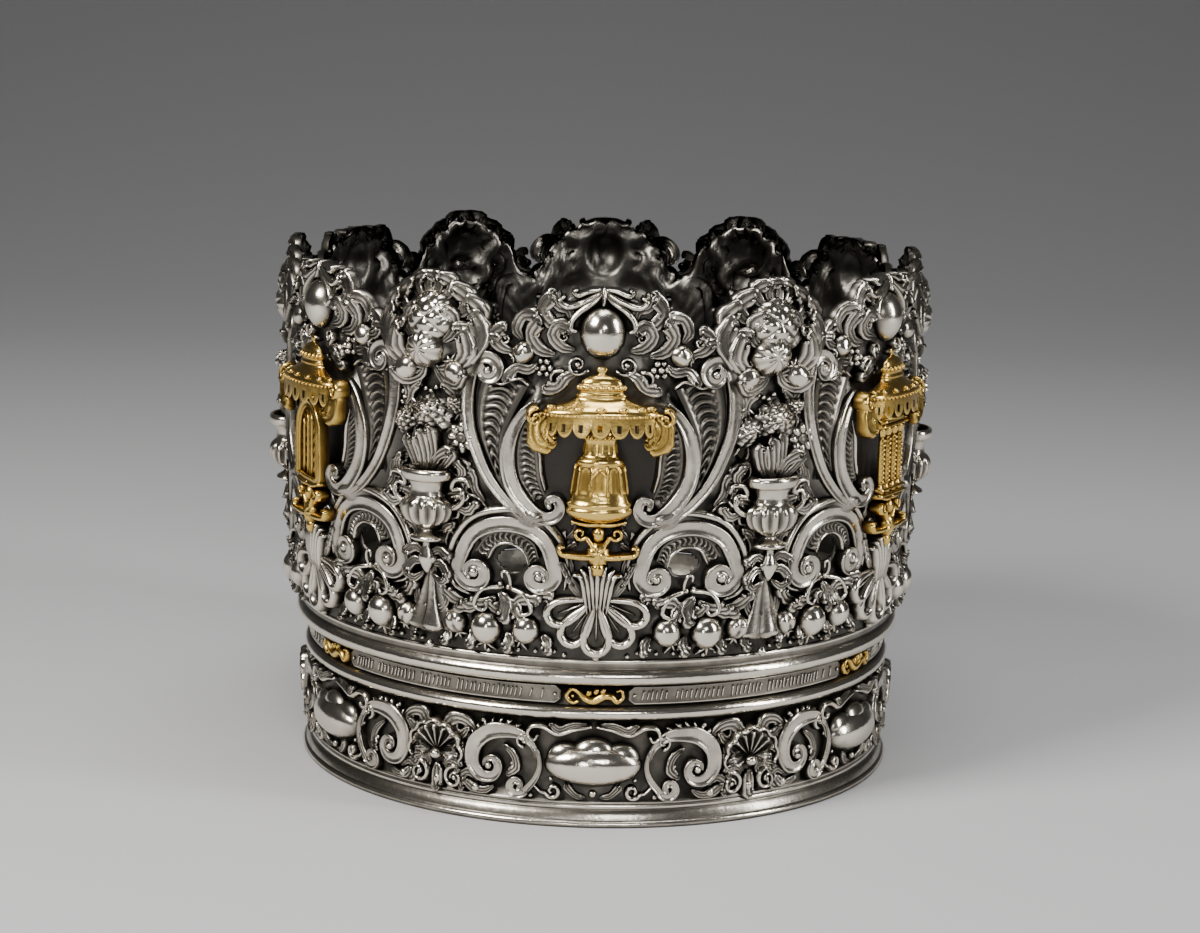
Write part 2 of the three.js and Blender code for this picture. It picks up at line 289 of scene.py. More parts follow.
class Work:
    """Forms gathered in the flat (s, z, h) frame, to be laid round the crown."""

    def __init__(self):
        self.forms = []

    def add(self, *forms):
        """Takes in forms, or lists of them."""
        for f in forms:
            self.forms.extend(f if isinstance(f, list) else [f])

    def pair(self, *forms):
        """Takes in forms, each with its mirror image."""
        for f in forms:
            for one in f if isinstance(f, list) else [f]:
                self.forms.extend([one, mirror(one)])

    def flat(self):
        """All the points, faces and painted shading together."""
        pts, faces, painted_shading, start = [], [], [], 0
        for p, fs, t in self.forms:
            pts.append(p)
            painted_shading.append(t)
            faces.extend(f + start for f in fs)
            start += len(p)
        return np.vstack(pts), faces, np.concatenate(painted_shading)


def wrap(pts, angle, radius=wall_radius):
    """Flat points bent round the ring, in scene units."""
    a = angle + pts[:, 0] / ARC
    r = radius(pts[:, 1]) + pts[:, 2]
    return np.column_stack([r * np.sin(a), -r * np.cos(a), pts[:, 1]]) * MM


def upright(pts, angle, radius):
    """A flat plate standing off the wall, not bent with it."""
    c, q = cos(angle), sin(angle)
    x, y = pts[:, 0], -(radius + pts[:, 2])
    return np.column_stack([c * x - q * y, q * x + c * y, pts[:, 1]]) * MM


def build(name, parts, material, cad=()):
    """One object from (world points, faces, painted shading) parts; the painted shading, light and shade
    painted into the colour, is stored as a point attribute.
    """
    verts, polys, painted_shading_parts, start = [], [], [], 0
    for pts, faces, painted_shading in parts:
        verts.append(pts)
        painted_shading_parts.append(painted_shading)
        for f in faces:
            polys.extend((f + start).tolist())
        start += len(pts)
    mesh = bpy.data.meshes.new(name)
    mesh.from_pydata(np.vstack(verts).tolist(), [], polys)
    mesh.update()
    mesh.polygons.foreach_set("use_smooth", np.ones(len(mesh.polygons), bool))
    painted_shading_layer = mesh.attributes.new("painted_shading", "FLOAT", "POINT")
    painted_shading_layer.data.foreach_set("value", np.concatenate(painted_shading_parts).astype(np.float32))
    mesh.materials.append(material)
    obj = bpy.data.objects.new(name, mesh)
    bpy.context.scene.collection.objects.link(obj)
    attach(obj, "root")
    if cad:
        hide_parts(*cad)


def numbered(name):
    """The six CAD nodes that share a name."""
    return [f"{name}_{n}" for n in range(1, SECTORS + 1)]


def everywhere(work, sectors=range(SECTORS), offset=0.0, radius=wall_radius, deepest=-0.9):
    """The work laid on a ring in each sector, its backs kept from poking through."""
    pts, faces, painted_shading = work.flat()
    pts = np.column_stack([pts[:, :2], np.maximum(pts[:, 2], deepest)])
    return [(wrap(pts, (i * 2 + offset) * HALF, radius), faces, painted_shading) for i in sectors]


def standing(kinds, radius):
    """Upright work before each cartouche, its kinds taken in turn."""
    parts = []
    for i in range(SECTORS):
        pts, faces, painted_shading = kinds[i % len(kinds)].flat()
        parts.append((upright(pts, 2 * i * HALF, radius), faces, painted_shading))
    return parts


def middle(a, b):
    """The point halfway between two."""
    return ((a[0] + b[0]) / 2, (a[1] + b[1]) / 2)


# ---- Materials ----
SPECK = 0.5  # how much the small clouds of colour lighten or darken
# HOLLOW_REACH sets how far the painted shade from ambient occlusion reaches into recesses.
HOLLOW_REACH = 0.006  # how near a neighbouring surface has to be to darken a recess, in metres


def metal(name, dark, mid, bright, rough_dark, rough_bright):
    """A metal with shade painted into its recesses and a highlight painted onto its raised edges, with a
    fine grain.
    """
    m = bpy.data.materials.new(name)
    m.use_nodes = True
    nodes, links = m.node_tree.nodes, m.node_tree.links
    nodes.clear()

    def feed(socket, value):
        """Sets a socket to a number, or links it to another node's output."""
        if isinstance(value, bpy.types.NodeSocket):
            links.new(value, socket)
        else:
            socket.default_value = value

    def node(kind, **sockets):
        """A node with its sockets set, or linked where another socket is given."""
        made = nodes.new("ShaderNode" + kind)
        for key, value in sockets.items():
            feed(made.inputs[key.replace("_", " ")], value)
        return made

    def combine(operation, *values):
        """The output of a math node; sums are kept between 0 and 1."""
        made = node("Math")
        made.operation = operation
        made.use_clamp = operation == "ADD"
        for socket, value in zip(made.inputs, values):
            feed(socket, value)
        return made.outputs[0]

    # Painted shading: the stored shading times ambient occlusion paints shade into recesses and a highlight
    # onto raised edges; the noise adds random tarnish mottling. The sum sets both colour and roughness.
    painted_shading = node("Attribute")
    painted_shading.attribute_name = "painted_shading"
    hollow = node("AmbientOcclusion", Distance=HOLLOW_REACH)
    hollow.samples = 6
    open_sky = node("MapRange", Value=hollow.outputs["AO"], From_Min=0.22, From_Max=0.92)
    place = node("TexCoord").outputs["Object"]
    cloud = node("TexNoise", Vector=place, Scale=120, Detail=6, Roughness=0.6)
    painted_light = combine("MULTIPLY", painted_shading.outputs["Fac"], open_sky.outputs["Result"])
    fleck = combine("MULTIPLY_ADD", cloud.outputs["Fac"], SPECK, -0.5 * SPECK)
    painted_shade_and_tarnish = combine("ADD", painted_light, fleck)
    ramp = node("ValToRGB", Fac=painted_shade_and_tarnish)
    # The ramp runs from the painted shade colour through the mid colour to the painted highlight colour.
    first, last = ramp.color_ramp.elements
    first.position, first.color = 0.08, (*dark, 1)
    last.position, last.color = 0.92, (*bright, 1)
    ramp.color_ramp.elements.new(0.48).color = (*mid, 1)
    rough = node("MapRange", Value=painted_shade_and_tarnish, To_Min=rough_dark, To_Max=rough_bright)
    fine = node("TexNoise", Vector=place, Scale=420, Detail=3)
    bump = node("Bump", Height=fine.outputs["Fac"], Strength=0.25, Distance=0.0004)
    shader = node("BsdfPrincipled", Base_Color=ramp.outputs["Color"], Metallic=1.0,
        Roughness=rough.outputs["Result"], Normal=bump.outputs["Normal"])
    node("OutputMaterial", Surface=shader.outputs[0])
    return m


def build_half(name, part, work, radius=wall_radius):
    """One piece with half of the sectors."""
    picks = range(3 * part, 3 * part + 3)
    build(f"{name}_{part + 1}", everywhere(work, picks, 0, radius), silver)


# Colours of each metal: painted shade, mid, painted highlight; then the roughness in the shade and in the
# highlight.
silver = metal("silver", (0.042, 0.039, 0.034), (0.24, 0.218, 0.182), (0.87, 0.8, 0.68), 0.42, 0.15)
sheet_silver = metal("sheet silver", (0.05, 0.046, 0.041), (0.15, 0.14, 0.122), (0.66, 0.61, 0.52), 0.4,
    0.22)
gilt = metal("gilt", (0.1, 0.055, 0.014), (0.5, 0.32, 0.075), (0.92, 0.63, 0.18), 0.42, 0.18)

# ---- The wall sheet: one skin with broad relief, pierced, its reverse seen inside ----
UPPER_BAND = spiral(43.6, 182.6, 6.3, 1.7, 0, 1.15, 16)[::-1] + [(51.2, 177), (51.6, 171), (51, 163),
    (48.6, 154), (43, 141.5), (35, 131.8), (28, 127), (22.5, 126.2)]
INNER_BAND = [(24.5, 171), (29.5, 166), (33.4, 158.5), (35, 149.5), (33.2, 139.5), (28, 131.5),
    (22, 126.8), (17, 127), (14.4, 130.6), (16, 134.2), (19, 133.6), (18.6, 131.3)]
FIELD_RIM = [(25.5, 160), (23, 152), (22.3, 144), (20.5, 137)]
ARCH_ROLL = [(12.6, 98), (11.6, 106), (13.5, 115.5), (20.5, 124), (30, 128.3), (40, 128), (50, 124),
    (57, 115), (59.6, 105), (57.5, 96.5), (50, 93)]
ARCH_BAND = [(17, 108), (19, 114.5), (25, 120.5), (34, 122.8), (43, 121.3), (50.5, 116), (55, 108)]
ARCH_RIM = [(26.5, 106.5), (28.5, 112), (34, 115.2), (40, 113.6), (43, 108)]
LOW_LEFT = (22.3, 102.8)
LOW_RIGHT = (48.3, 102.6)


def gauss(s, z, cs, cz, ws, wz):
    """1 at a point, falling away over the two widths."""
    return np.exp(-(((s - cs) / ws) ** 2) - ((z - cz) / wz) ** 2)


def ridge(s, z, points, width):
    """1 along a curve, falling away over the width."""
    p = curve(points, 60)[:, :2]
    d = np.min((s[..., None] - p[:, 0]) ** 2 + (z[..., None] - p[:, 1]) ** 2, axis=-1)
    return np.exp(-d / width**2)


def top_edge(s):
    """The scalloped top: a crest over each cartouche and each vase, broken by leaf tips."""
    s = np.asarray(s, float)
    near_boss = np.abs(s)
    near_bud = np.abs(s - VASE)
    boss = (CREST_TOP - VALLEY) * np.clip(1 - (near_boss / 31) ** 2.2, 0, 1) ** 0.8
    bud = (CREST_TOP - VALLEY) * np.clip(1 - (near_bud / 27) ** 2.4, 0, 1) ** 0.8
    tips = 1.5 * np.abs(np.sin(s * 2 * pi / 14.5)) - 1.2
    return VALLEY + np.maximum(boss, bud) + tips


# Rounded rises of the sheet, as (height, s, z, width, width up), then lines, as (height, points, width).
RISES = [(4, 0, 200, 12, 13), (2.6, 20, 204, 8, 8), (2.5, 15, 184, 7, 6), (5.5, VASE, 197, 15, 16),
    (2, VASE - 22, 192, 7, 7), (4, 0, 88, 15, 13), (3, VASE, 158, 12, 9), (3, 43, 80, 5, 5),
    (3, 27, 81, 5, 5), (2.5, 57, 81, 4, 4), (1.6, VASE - 17, 140, 6, 9)]
RIDGES = [(2.6, UPPER_BAND[14:], 4.5), (2.6, INNER_BAND[:7], 4), (2.4, ARCH_BAND, 5)]


def ridges(s, z, specs):
    """Raised lines added up."""
    return sum(height * ridge(s, z, points, width) for height, points, width in specs)


def swell(s, z):
    """Broad relief of the sheet."""
    h = sum(height * gauss(s, z, *shape) for height, *shape in RISES) + ridges(s, z, RIDGES)
    oval = np.clip(1 - (s / 24) ** 2 - ((z - 142) / 34) ** 2, 0, 1)
    h -= 1.8 * np.sqrt(oval)
    ground = np.clip(1 - h / 2.5, 0, 1) * (oval <= 0)
    waves = 0.45 * np.sin(s * 0.9 + 1.3 * np.sin(z * 0.31)) * np.sin(z * 0.62 + 1.7 * np.sin(s * 0.23))
    return h + ground * np.clip((z - 70) / 5, 0, 1) * waves


def cap(s, z, cs, cz, ws, wz):
    """A round cap, 1 at its middle and 0 at its edge and beyond."""
    return np.sqrt(np.clip(1 - ((s - cs) / ws) ** 2 - ((z - cz) / wz) ** 2, 0, 1))


CREST_CURLS = [[(9, 210), (15, 211)], [(15, 193), (19, 198), (15, 200.5)],
    [(16, 201.5), (21.5, 205), (20.5, 210)], [(20, 190.5), (26, 196), (25, 201)],
    [(31.5, 196), (32.5, 200), (28, 204.5)], [(36, 190.5), (41, 194.5)]]
BUD_CURLS = [[(13, 182.5), (15.5, 189), (15, 194)], [(14, 185.5), (20.5, 192), (20, 200)],
    [(15, 195), (20, 202), (18, 208)], [(11, 203.5), (15, 209), (12, 214)],
    [(0, 206), (0, 213), (0, 219)], [(5, 210), (8, 215), (6, 219)]]


# Hollows behind the raised work: round ones, as (height, s, z, half width, half height), and curled ones.
CAPS = [(5.2, 0, 199.5, 8.2, 9.8), (4.4, VASE, 202, 11, 9.6), (4.8, VASE, 189.2, 8.4, 7.8),
    (3, 30.6, 190, 4.3, 4.6), (3.4, 57, 180.5, 4.8, 5.1), (4.5, 43.5, 80.5, 6.2, 6.4),
    (4, 27.5, 81, 5.4, 5.6), (3.4, 56.8, 81.5, 4.6, 4.8)]
CURLS = [(1.6, points, 1.8) for points in CREST_CURLS]
CURLS += [(1.8, [(VASE - a, b) for a, b in points], 2) for points in BUD_CURLS]
CURLS += [(1.2, UPPER_BAND[15:], 2), (1.4, INNER_BAND[:7], 2.2)]


def press(s, z):
    """The sheet pushed up behind the raised work, which is hidden in front and hollow inside."""
    return sum(height * cap(s, z, *shape) for height, *shape in CAPS) + ridges(s, z, CURLS)


# Piercings, as (s, z, half width, half height).
HOLES = [(34.0, 108.3, 6.3, 5.2), (VASE - 8.5, 107, 3.0, 8), (VASE - 10, 121, 3.2, 2.6),
    (VASE - 23, 118, 2.4, 4.5), (VASE - 25, 142, 2.2, 4.6), (56.5, 153, 1.8, 4.5),
    (31.5, 177.5, 1.6, 3.2), (VASE - 14, 178, 2.0, 3.0), (54, 167, 1.5, 4.0), (14, 117.5, 1.6, 2.2)]


def sheet_parts(sectors, columns=42, rows=80):
    """The pierced sheet, outside and inside with the edges joined."""
    s_half = np.linspace(0, VASE, columns + 1)
    s, v = np.meshgrid(s_half, np.linspace(0, 1, rows + 1), indexing="ij")
    z = SHEET_FOOT + (top_edge(s) - SHEET_FOOT) * v
    keep = np.ones((columns, rows), bool)
    for cs, cz, ws, wz in HOLES:
        r = np.sqrt(((s - cs) / ws) ** 2 + ((z - cz) / wz) ** 2) + 1e-6
        near = np.abs(r - 1) * min(ws, wz) < 0.62
        pull = np.where(near, 1 / r, 1)
        s, z = cs + (s - cs) * pull, cz + (z - cz) * pull
        mid_s = (s[1:, 1:] + s[:-1, :-1]) / 2
        mid_z = (z[1:, 1:] + z[:-1, :-1]) / 2
        keep &= ((mid_s - cs) / ws) ** 2 + ((mid_z - cz) / wz) ** 2 > 0.9
    s[0], s[-1] = 0, VASE
    h = swell(s, z) + press(s, z)
    lift = np.clip((v - 0.93) / 0.07, 0, 1) ** 2
    outer = np.stack([s, z, h + 1.5 * lift], -1)
    inner = np.stack([s, z, h + 1.5 * lift - SHEET_THICK], -1)
    # Painted shading: the outside is painted lighter where its relief stands higher and at its lifted top
    # edge; the inside is painted darker where the relief rises and lighter at the top edge.
    painted_shading_out = np.clip(0.12 + 0.16 * h + 0.5 * lift, 0, 0.75)
    painted_shading_in = np.clip(0.42 - 0.03 * h + 0.3 * lift, 0.1, 0.7)
    cols = rows + 1
    index = np.arange((columns + 1) * cols).reshape(columns + 1, cols)
    quad = np.stack([index[:-1, :-1], index[1:, :-1], index[1:, 1:], index[:-1, 1:]], -1)[keep]
    count = index.size
    faces = [quad, quad[:, ::-1] + count]
    edges = np.vstack([quad[:, [i, (i + 1) % 4]] for i in range(4)])
    inside = {tuple(e) for e in edges.tolist()}
    seam = set(index[0].tolist()) | set(index[-1].tolist())
    rim = [e for e in inside if (e[1], e[0]) not in inside and not (e[0] in seam and e[1] in seam)]
    rim = np.array(rim)
    faces.append(np.column_stack([rim[:, 1], rim[:, 0], rim[:, 0] + count, rim[:, 1] + count]))
    form = (np.vstack([outer.reshape(-1, 3), inner.reshape(-1, 3)]), faces,
        np.concatenate([painted_shading_out.reshape(-1), painted_shading_in.reshape(-1)]))
    work = Work()
    work.pair(form)
    return everywhere(work, sectors, deepest=-9)


for part in range(3):
    build(f"wall_sheet_{part + 1}", sheet_parts([2 * part, 2 * part + 1]), sheet_silver,
        ["crown_wall"] if part == 0 else [])

# ---- Cartouche scrolls ----
scrolls = Work()
band_w = [1.5, 1.7, 1.9, 2.1, 2.3, 2.4, 2.5, 2.6, 2.6, 2.5, 2.3, 2.0, 1.5]
scrolls.pair(sweep(UPPER_BAND, band_w, [5.0, 4.6, 4.2, 3.8, 3.4, 3.0], FLAT_BAND, 190, 2.6))
scrolls.pair(sweep(INNER_BAND, [1.7, 2.4, 2.9, 3.1, 3.0, 2.6, 2.1, 1.5, 1.0],
    [3.0, 3.8, 4.0, 4.2, 4.4, 4.4], FLAT_BAND, 90, 3.0))
scrolls.pair(ribbon([(45.5, 181), (47.6, 172), (47.4, 164), (45.2, 155), (40, 143), (33, 134),
    (27, 129.5)], [(28, 177), (32, 169), (36.2, 159), (37.6, 149), (35.6, 138.5), (30.5, 131),
    (26.5, 128.5)], 4.2, 150, 17, 15, 0.75, 1.7, 0, -0.7))
scrolls.pair(sweep([(27.5, 177.5), (31, 180), (35, 179), (38.5, 177.5), (42, 179)], [0.7, 0.9, 0.8],
    [3.4, 3.6, 3.4], ROLL, 24, 1.8))
scrolls.pair(ribbon([(27.5, 166), (31, 158), (32, 149.5), (30.6, 141), (25, 132.5)],
    [(25.5, 161), (24, 154), (23.2, 147), (22.2, 140), (20.5, 135)], 3.6, 110, 13, 13, 0.5, 1.0, 0, -0.6))
scrolls.pair(sweep(FIELD_RIM, [0.6, 0.9, 0.9, 0.6], [3.6, 3.8, 3.6], ROLL, 36, 0.6))
scrolls.pair(sweep(ARCH_ROLL, [1.0, 1.5, 1.9, 2.0, 2.0, 1.9, 1.6, 1.0], [3.4, 3.6, 4.0, 3.8, 3.2], ROLL,
    70, 0.4))
scrolls.pair(ribbon([(14.5, 109), (17, 117), (23, 122.5), (34, 125.2), (44, 123.6), (52, 118), (57, 109)],
    [(16, 108.5), (18.4, 115), (24.5, 120.8), (34, 123), (43.2, 121.6), (50.6, 116.6), (55, 108.5)], 2.4,
    60, 4, 0, 0, 0.6))
scrolls.pair(sweep(spiral(*LOW_LEFT, 6.2, 1.7, 165, 1.15, 16)[::-1] + ARCH_BAND[1:-1]
    + spiral(*LOW_RIGHT, 7.2, 1.8, 15, -1.2, 16), [1.5, 1.8, 2.1, 2.6, 3.0, 3.1, 3.0, 2.6, 2.2, 1.9, 1.5],
    [5.4, 4.6, 3.6, 3.2, 3.4, 4.6, 5.6], FLAT_BAND, 190, 1.4))
scrolls.pair(dome(*LOW_LEFT, 2.0, 2.0, 2.6, 3.6, rings=5, sides=14),
    dome(*LOW_RIGHT, 2.3, 2.3, 2.6, 3.8, rings=5, sides=14))
scrolls.pair(dome(18.6, 131.2, 1.6, 1.6, 2.4, 4.2, rings=5, sides=12),
    dome(43.6, 182.6, 1.9, 1.9, 2.4, 4.6, rings=5, sides=12))
scrolls.pair(ribbon([(22.5, 110), (25.2, 116), (34, 120), (42.6, 118.4), (48.5, 111)],
    [(26.5, 107), (28.5, 112), (34, 115), (40, 113.5), (43.2, 109)], 3.0, 110, 13, 14, 0.5, 0.9, 0, 0.6))
scrolls.pair(sweep(ARCH_RIM, [0.6, 0.9, 0.9, 0.6], [3.2, 3.4, 3.2], ROLL, 36, 0.2))
scrolls.pair(tube([(34.5, 96, 0.5), (34, 100, 2.2), (35.2, 103.5, 2.8), (37.2, 103.2, 2.8),
    (37, 101, 2.6)], [0.9, 0.7, 0.5]))


def petal(root, lean, reach, wide, base):
    """A drop-shaped petal: a bright raised rim round a dished face with a low rib."""
    c, q = cos(radians(lean)), sin(radians(lean))

    def place(x, y):
        return (root[0] + c * x + q * y, root[1] + q * x - c * y)

    def outline(size):
        around = np.linspace(0, 2 * pi, 25)
        return [place(size * wide * sin(a) * abs(sin(a / 2)) ** 1.7,
            reach * (0.5 - 0.5 * cos(a)) * (0.5 + 0.5 * size)) for a in around]

    right, left = outline(0.95)[:13], outline(0.95)[:11:-1]
    face = ribbon(left, right, 1.6, 26, 9, 0, 0, 1.5, base)
    return [face, sweep(outline(1.0), [0.8, 1.5, 2.0, 2.1, 2.0, 1.5, 0.8],
        [2.8, 3.2, 3.8, 4.0, 3.8, 3.2, 2.8], ROLL, 60, base),
        sweep([place(0, 1), place(0, 0.45 * reach), place(0, 0.8 * reach)], [0.4, 0.6, 0.2],
        [1.6, 1.8, 1.0], ROLL, 12, base)]


def foot_shell():
    """The five petals at a cartouche's foot, with ribs and small leaves."""
    forms = []
    for lean, reach, wide in [(66, 20.5, 6.8), (-66, 20.5, 6.8), (33, 21.5, 7.0), (-33, 21.5, 7.0),
            (0, 22.0, 7.2)]:
        forms.extend(petal((0, 95), lean, reach, wide, 2.6 if lean else 3.2))
    for k in range(-3, 4):
        forms.append(sweep([(k * 1.2, 91 - 0.2 * k * k), (k * 1.6, 98), (k * 2.1, 104),
            (k * 3.1, 109 - 0.5 * k * k)], [0.6, 1.4, 1.5, 0.9], [3.2, 4.4, 4.0, 3.4], ROLL, 18,
            3.6 - 0.2 * abs(k)))
    for side in (-1, 1):
        for k in range(4):
            forms.append(leaf([(side * 3.2, 93 + k), (side * (7 + 1.2 * k), 96.5 + 2.2 * k),
                (side * (9.5 + 1.3 * k), 100 + 2.8 * k)], 1.1, 2.2, 1, 2.6, 12, 0.5))
    forms.append(dome(0, 70.6, 1.6, 1.6, 2.0, 1.4, rings=5, sides=10))
    return forms


def fruit(s, z, radius, turn=0.0, split=True):
    """A pomegranate: a smooth ball with a star calyx, some split by a groove."""

    def chase(r, a):
        return -0.9 * np.exp(-((r * np.cos(a) / 0.13) ** 2)) * (1 if split else 0) + 0 * r

    forms = [dome(s, z, radius, radius * 1.06, radius * 0.95, radius * 0.35, turn, 9, 24, None, chase, 96,
        False)]
    q = radians(turn - 90)
    for k in (-1, 0, 1):
        b = q + 0.5 * k
        start = (s + radius * 0.9 * cos(q), z + radius * 0.9 * sin(q))
        end = (s + radius * 1.5 * cos(b), z + radius * 1.5 * sin(b))
        forms.append(sweep([start, middle(start, end), end], [0.9, 0.8, 0.15], [3.0, 2.6, 1.6], ROLL, 8,
            0.8))
    return forms


lower = Work()
lower.add(foot_shell())
lower.pair(fruit(43.5, 80.5, 6.6, 5, False), fruit(27.5, 81, 5.8, 25, False), fruit(56.8, 81.5, 5.0, -20))
for s, z, w, tip_s, tip_z in [(36, 92, 2.4, 30, 86), (38, 95, 2.6, 36, 86), (33, 90, 2.4, 24, 93),
        (40, 93, 2.4, 50, 90), (35, 79, 2.0, 35, 73.6), (50, 79, 1.8, 50, 73.6), (21, 79, 2.0, 19, 73.8),
        (60.5, 78, 1.7, 61, 73.6), (46, 92, 2.4, 54, 88), (24, 92, 2.0, 18.5, 95),
        (37, 88, 2.2, 41, 90.5), (52, 90, 2.2, 60, 94)]:
    mid = ((s + tip_s) / 2 + 0.18 * (tip_z - z), (z + tip_z) / 2 - 0.18 * (tip_s - s))
    lower.pair(leaf([(s, z), mid, (tip_s, tip_z)], w, 2.4, 3, 1.4, 18, 2.0))
for s, z, r in [(33, 74, 1.3), (35.5, 72.5, 1.2), (34, 71, 1.1), (31, 72, 1.1), (37.5, 74.5, 1.1),
        (50, 74, 1.2), (52, 72, 1.1), (48.5, 72, 1.1), (20.5, 73.5, 1.1), (16.5, 72.5, 1.2),
        (35, 97, 1.6), (38.5, 98, 1.4), (12.5, 71, 1.1), (62.5, 72, 1.1), (24, 72, 1.0), (43.5, 71, 1.2)]:
    lower.pair(dome(s, z, r, r, r, 0.7, rings=4, sides=9))
for points in [[(35, 97, 1), (28, 95, 3.5), (25, 89, 4.5), (29, 87, 4.5), (31, 90, 4)],
        [(37, 97, 1), (45, 96, 3.5), (48, 90, 4.5), (44.5, 87.5, 4.5), (42.5, 90, 4)]]:
    lower.pair(tube(points, [1.2, 1.1, 0.9, 0.7], 24, 8))

for part in range(2):
    build_half("scrolls", part, scrolls)
    build_half("shells_and_fruit", part, lower)

# ---- Crests ----
def fold(s):
    """Any s brought into the half sector that the sheet is drawn for."""
    s = np.abs(s)
    return np.where(s > VASE, 2 * VASE - s, s)


def drape(form):
    """Lays a form on the sheet's broad relief."""
    if isinstance(form, list):
        return [drape(f) for f in form]
    pts, faces, painted_shading = form
    out = pts.copy()
    out[:, 2] = np.maximum(out[:, 2], -0.4) + np.maximum(swell(fold(out[:, 0]), out[:, 1]), 0)
    return out, faces, painted_shading


def blob(s, z, h, rs, rz, rh, rings=6, sides=10):
    """A whole ellipsoid, for beads and berries."""
    pts, faces, painted_shading = dome(s, z, rs, rz, rh, h, rings=rings, sides=sides, reach=170)
    # Painted shading: a painted highlight on the bead's front, painted shade towards the wall.
    return pts, faces, np.clip(0.45 + 0.6 * (pts[:, 2] - h) / rh, 0.1, 1)


def berries(s, z, radius, count=7):
    """A ring of berries round a middle one."""
    forms = [blob(s, z, 2.6, radius, radius, radius)]
    for k in range(count - 1):
        a = 2 * pi * k / (count - 1)
        forms.append(blob(s + 1.9 * radius * cos(a), z + 1.9 * radius * sin(a), 1.4, radius, radius,
            radius))
    return forms


crest = Work()
crest.add(drape(dome(0, 199.5, 8.8, 10.4, 5.5, 1.6, 0, 10, 32, lambda a: 1 - 0.06 * np.sin(a), None, 95,
    False)))
for points, w in [([(0.3, 215), (4, 212.4), (9, 209.8), (13.4, 208.6), (16.4, 210.8), (14.6, 212.4)],
        1.4), ([(0.3, 213.8), (3.2, 211), (8, 207.6), (11.4, 203.8), (11.8, 200.2), (9.8, 199.4)], 1.3),
        ([(0.6, 215.4), (5, 214.6), (9.4, 213), (11.4, 214.2), (9.8, 215.2)], 1.1)]:
    crest.pair(drape(sweep(points, [0.7 * w, 1.2 * w, 1.3 * w, 1.1 * w, 0.7 * w], [3.4, 4.2, 4.4, 4.8],
        ROLL, 40, 1.6)))
crest.add(drape(sweep([(0, 216), (0.3, 212.8), (0, 209.4)], [1.2, 1.3, 0.8], [4.4, 4.6, 4.0], ROLL, 14,
    1.6)))
crest.pair(drape(leaves([([(10.5, 192), (15.5, 193), (19, 197.5), (16.5, 201.5), (13, 200)], 2.3),
    ([(14, 201), (19.5, 202), (23, 207), (20, 211.5)], 2.5),
    ([(12, 203), (13, 207.5), (17, 209), (19, 213.5)], 2.0),
    ([(18, 190), (24, 191.5), (27.5, 197), (24.5, 202)], 2.4),
    ([(9, 183.5), (13.5, 181.5), (16.5, 177.5), (20.5, 177)], 2.1),
    ([(31, 195), (33.5, 199), (31, 204), (26.5, 205)], 2.2),
    ([(34, 190), (39, 191.5), (42, 196), (38.5, 199)], 2.2),
    ([(53, 188), (50, 192), (51, 197), (55.5, 198)], 2.2),
    ([(25, 186), (28, 183.5), (33, 184), (36, 180)], 1.9), ([(47, 192), (45, 195), (41, 195)], 1.8)], 3.0,
    3, 0.8, 26, 2.2)))
for s, z, r, start, turns in [(9.2, 186.5, 4.6, -150, 1.15), (21.8, 206.5, 2.8, 30, -1.1),
        (16.5, 180.5, 3.8, 120, -1.1), (25.5, 198, 2.6, 60, -1.1), (14.6, 197, 2.6, 90, -1.0),
        (52.5, 193.5, 2.4, 150, 1.1), (37.5, 195, 2.4, 30, -1.0)]:
    crest.pair(drape(volute(s, z, r, start, turns, 1.1, 2.6, 0.8)))
crest.pair(drape(berries(22.5, 184.5, 1.45)), drape(berries(6.5, 178.5, 0.9, 5)))
crest.pair(drape(fruit(30.6, 190, 4.6, 60, False)), drape(fruit(57, 180.5, 5.2, 150, False)))
for k in range(3):
    crest.pair(drape(blob(40.5 + 2.6 * k, 178.5 - 2.2 * (k % 2), 2, 1.2, 1.2, 1.2)))


def scales(r, a):
    """A net of raised diamonds on a bud."""
    x, y = r * np.cos(a), r * np.sin(a)
    return 1.15 * np.abs(np.sin(4.9 * (x + y)) * np.sin(4.9 * (x - y))) ** 0.5 - 0.6


def meridians(r, a):
    """Flutes down a round form."""
    return 0.8 * np.abs(np.sin(5 * a)) * np.minimum(1, 2.5 * r) - 0.5


bud = Work()
bud.add(drape(dome(VASE, 202, 12.0, 10.5, 5.5, 1.0, 0, 26, 96, None, scales, 95, False)))
bud.add(drape(dome(VASE - 2, 189.2, 8.8, 8.2, 6.4, 1.6, 20, 12, 60, None, meridians, 95, False)))
for points, w in [([(3, 181), (10, 182), (16, 188), (15, 195)], 3.2),
        ([(10, 184), (17, 187), (21.5, 195), (19, 202)], 3.2),
        ([(12, 194), (18, 198), (20.5, 203.6), (17, 208)], 3.0),
        ([(9, 202), (14, 205), (15, 209.6), (10.5, 213)], 2.7),
        ([(4, 208), (7, 211), (8, 215), (4.5, 217)], 2.2),
        ([(6, 192), (10, 196), (10.5, 202), (7, 205)], 2.0),
        ([(1, 209), (2.5, 213), (1.5, 216.4), (-1.5, 217.6)], 1.8),
        ([(2, 183), (5, 178), (11, 176), (14.5, 179)], 2.0)]:
    for side in (1, -1):
        bud.add(drape(leaf([(VASE + side * s, z) for s, z in points], w, 2.6, 4, 1.2, 26, 2.6)))
for side in (1, -1):
    bud.add(drape(volute(VASE + side * 19.5, 206.5, 2.8, 90 - side * 60, -side * 1.1, 1.0, 2.6, 1)))
    bud.add(drape(volute(VASE + side * 12, 211.6, 2.4, 90 - side * 60, -side * 1.1, 0.9, 2.4, 1)))

for part in range(2):
    build_half("crests", part, crest)
    build_half("artichokes", part, bud)


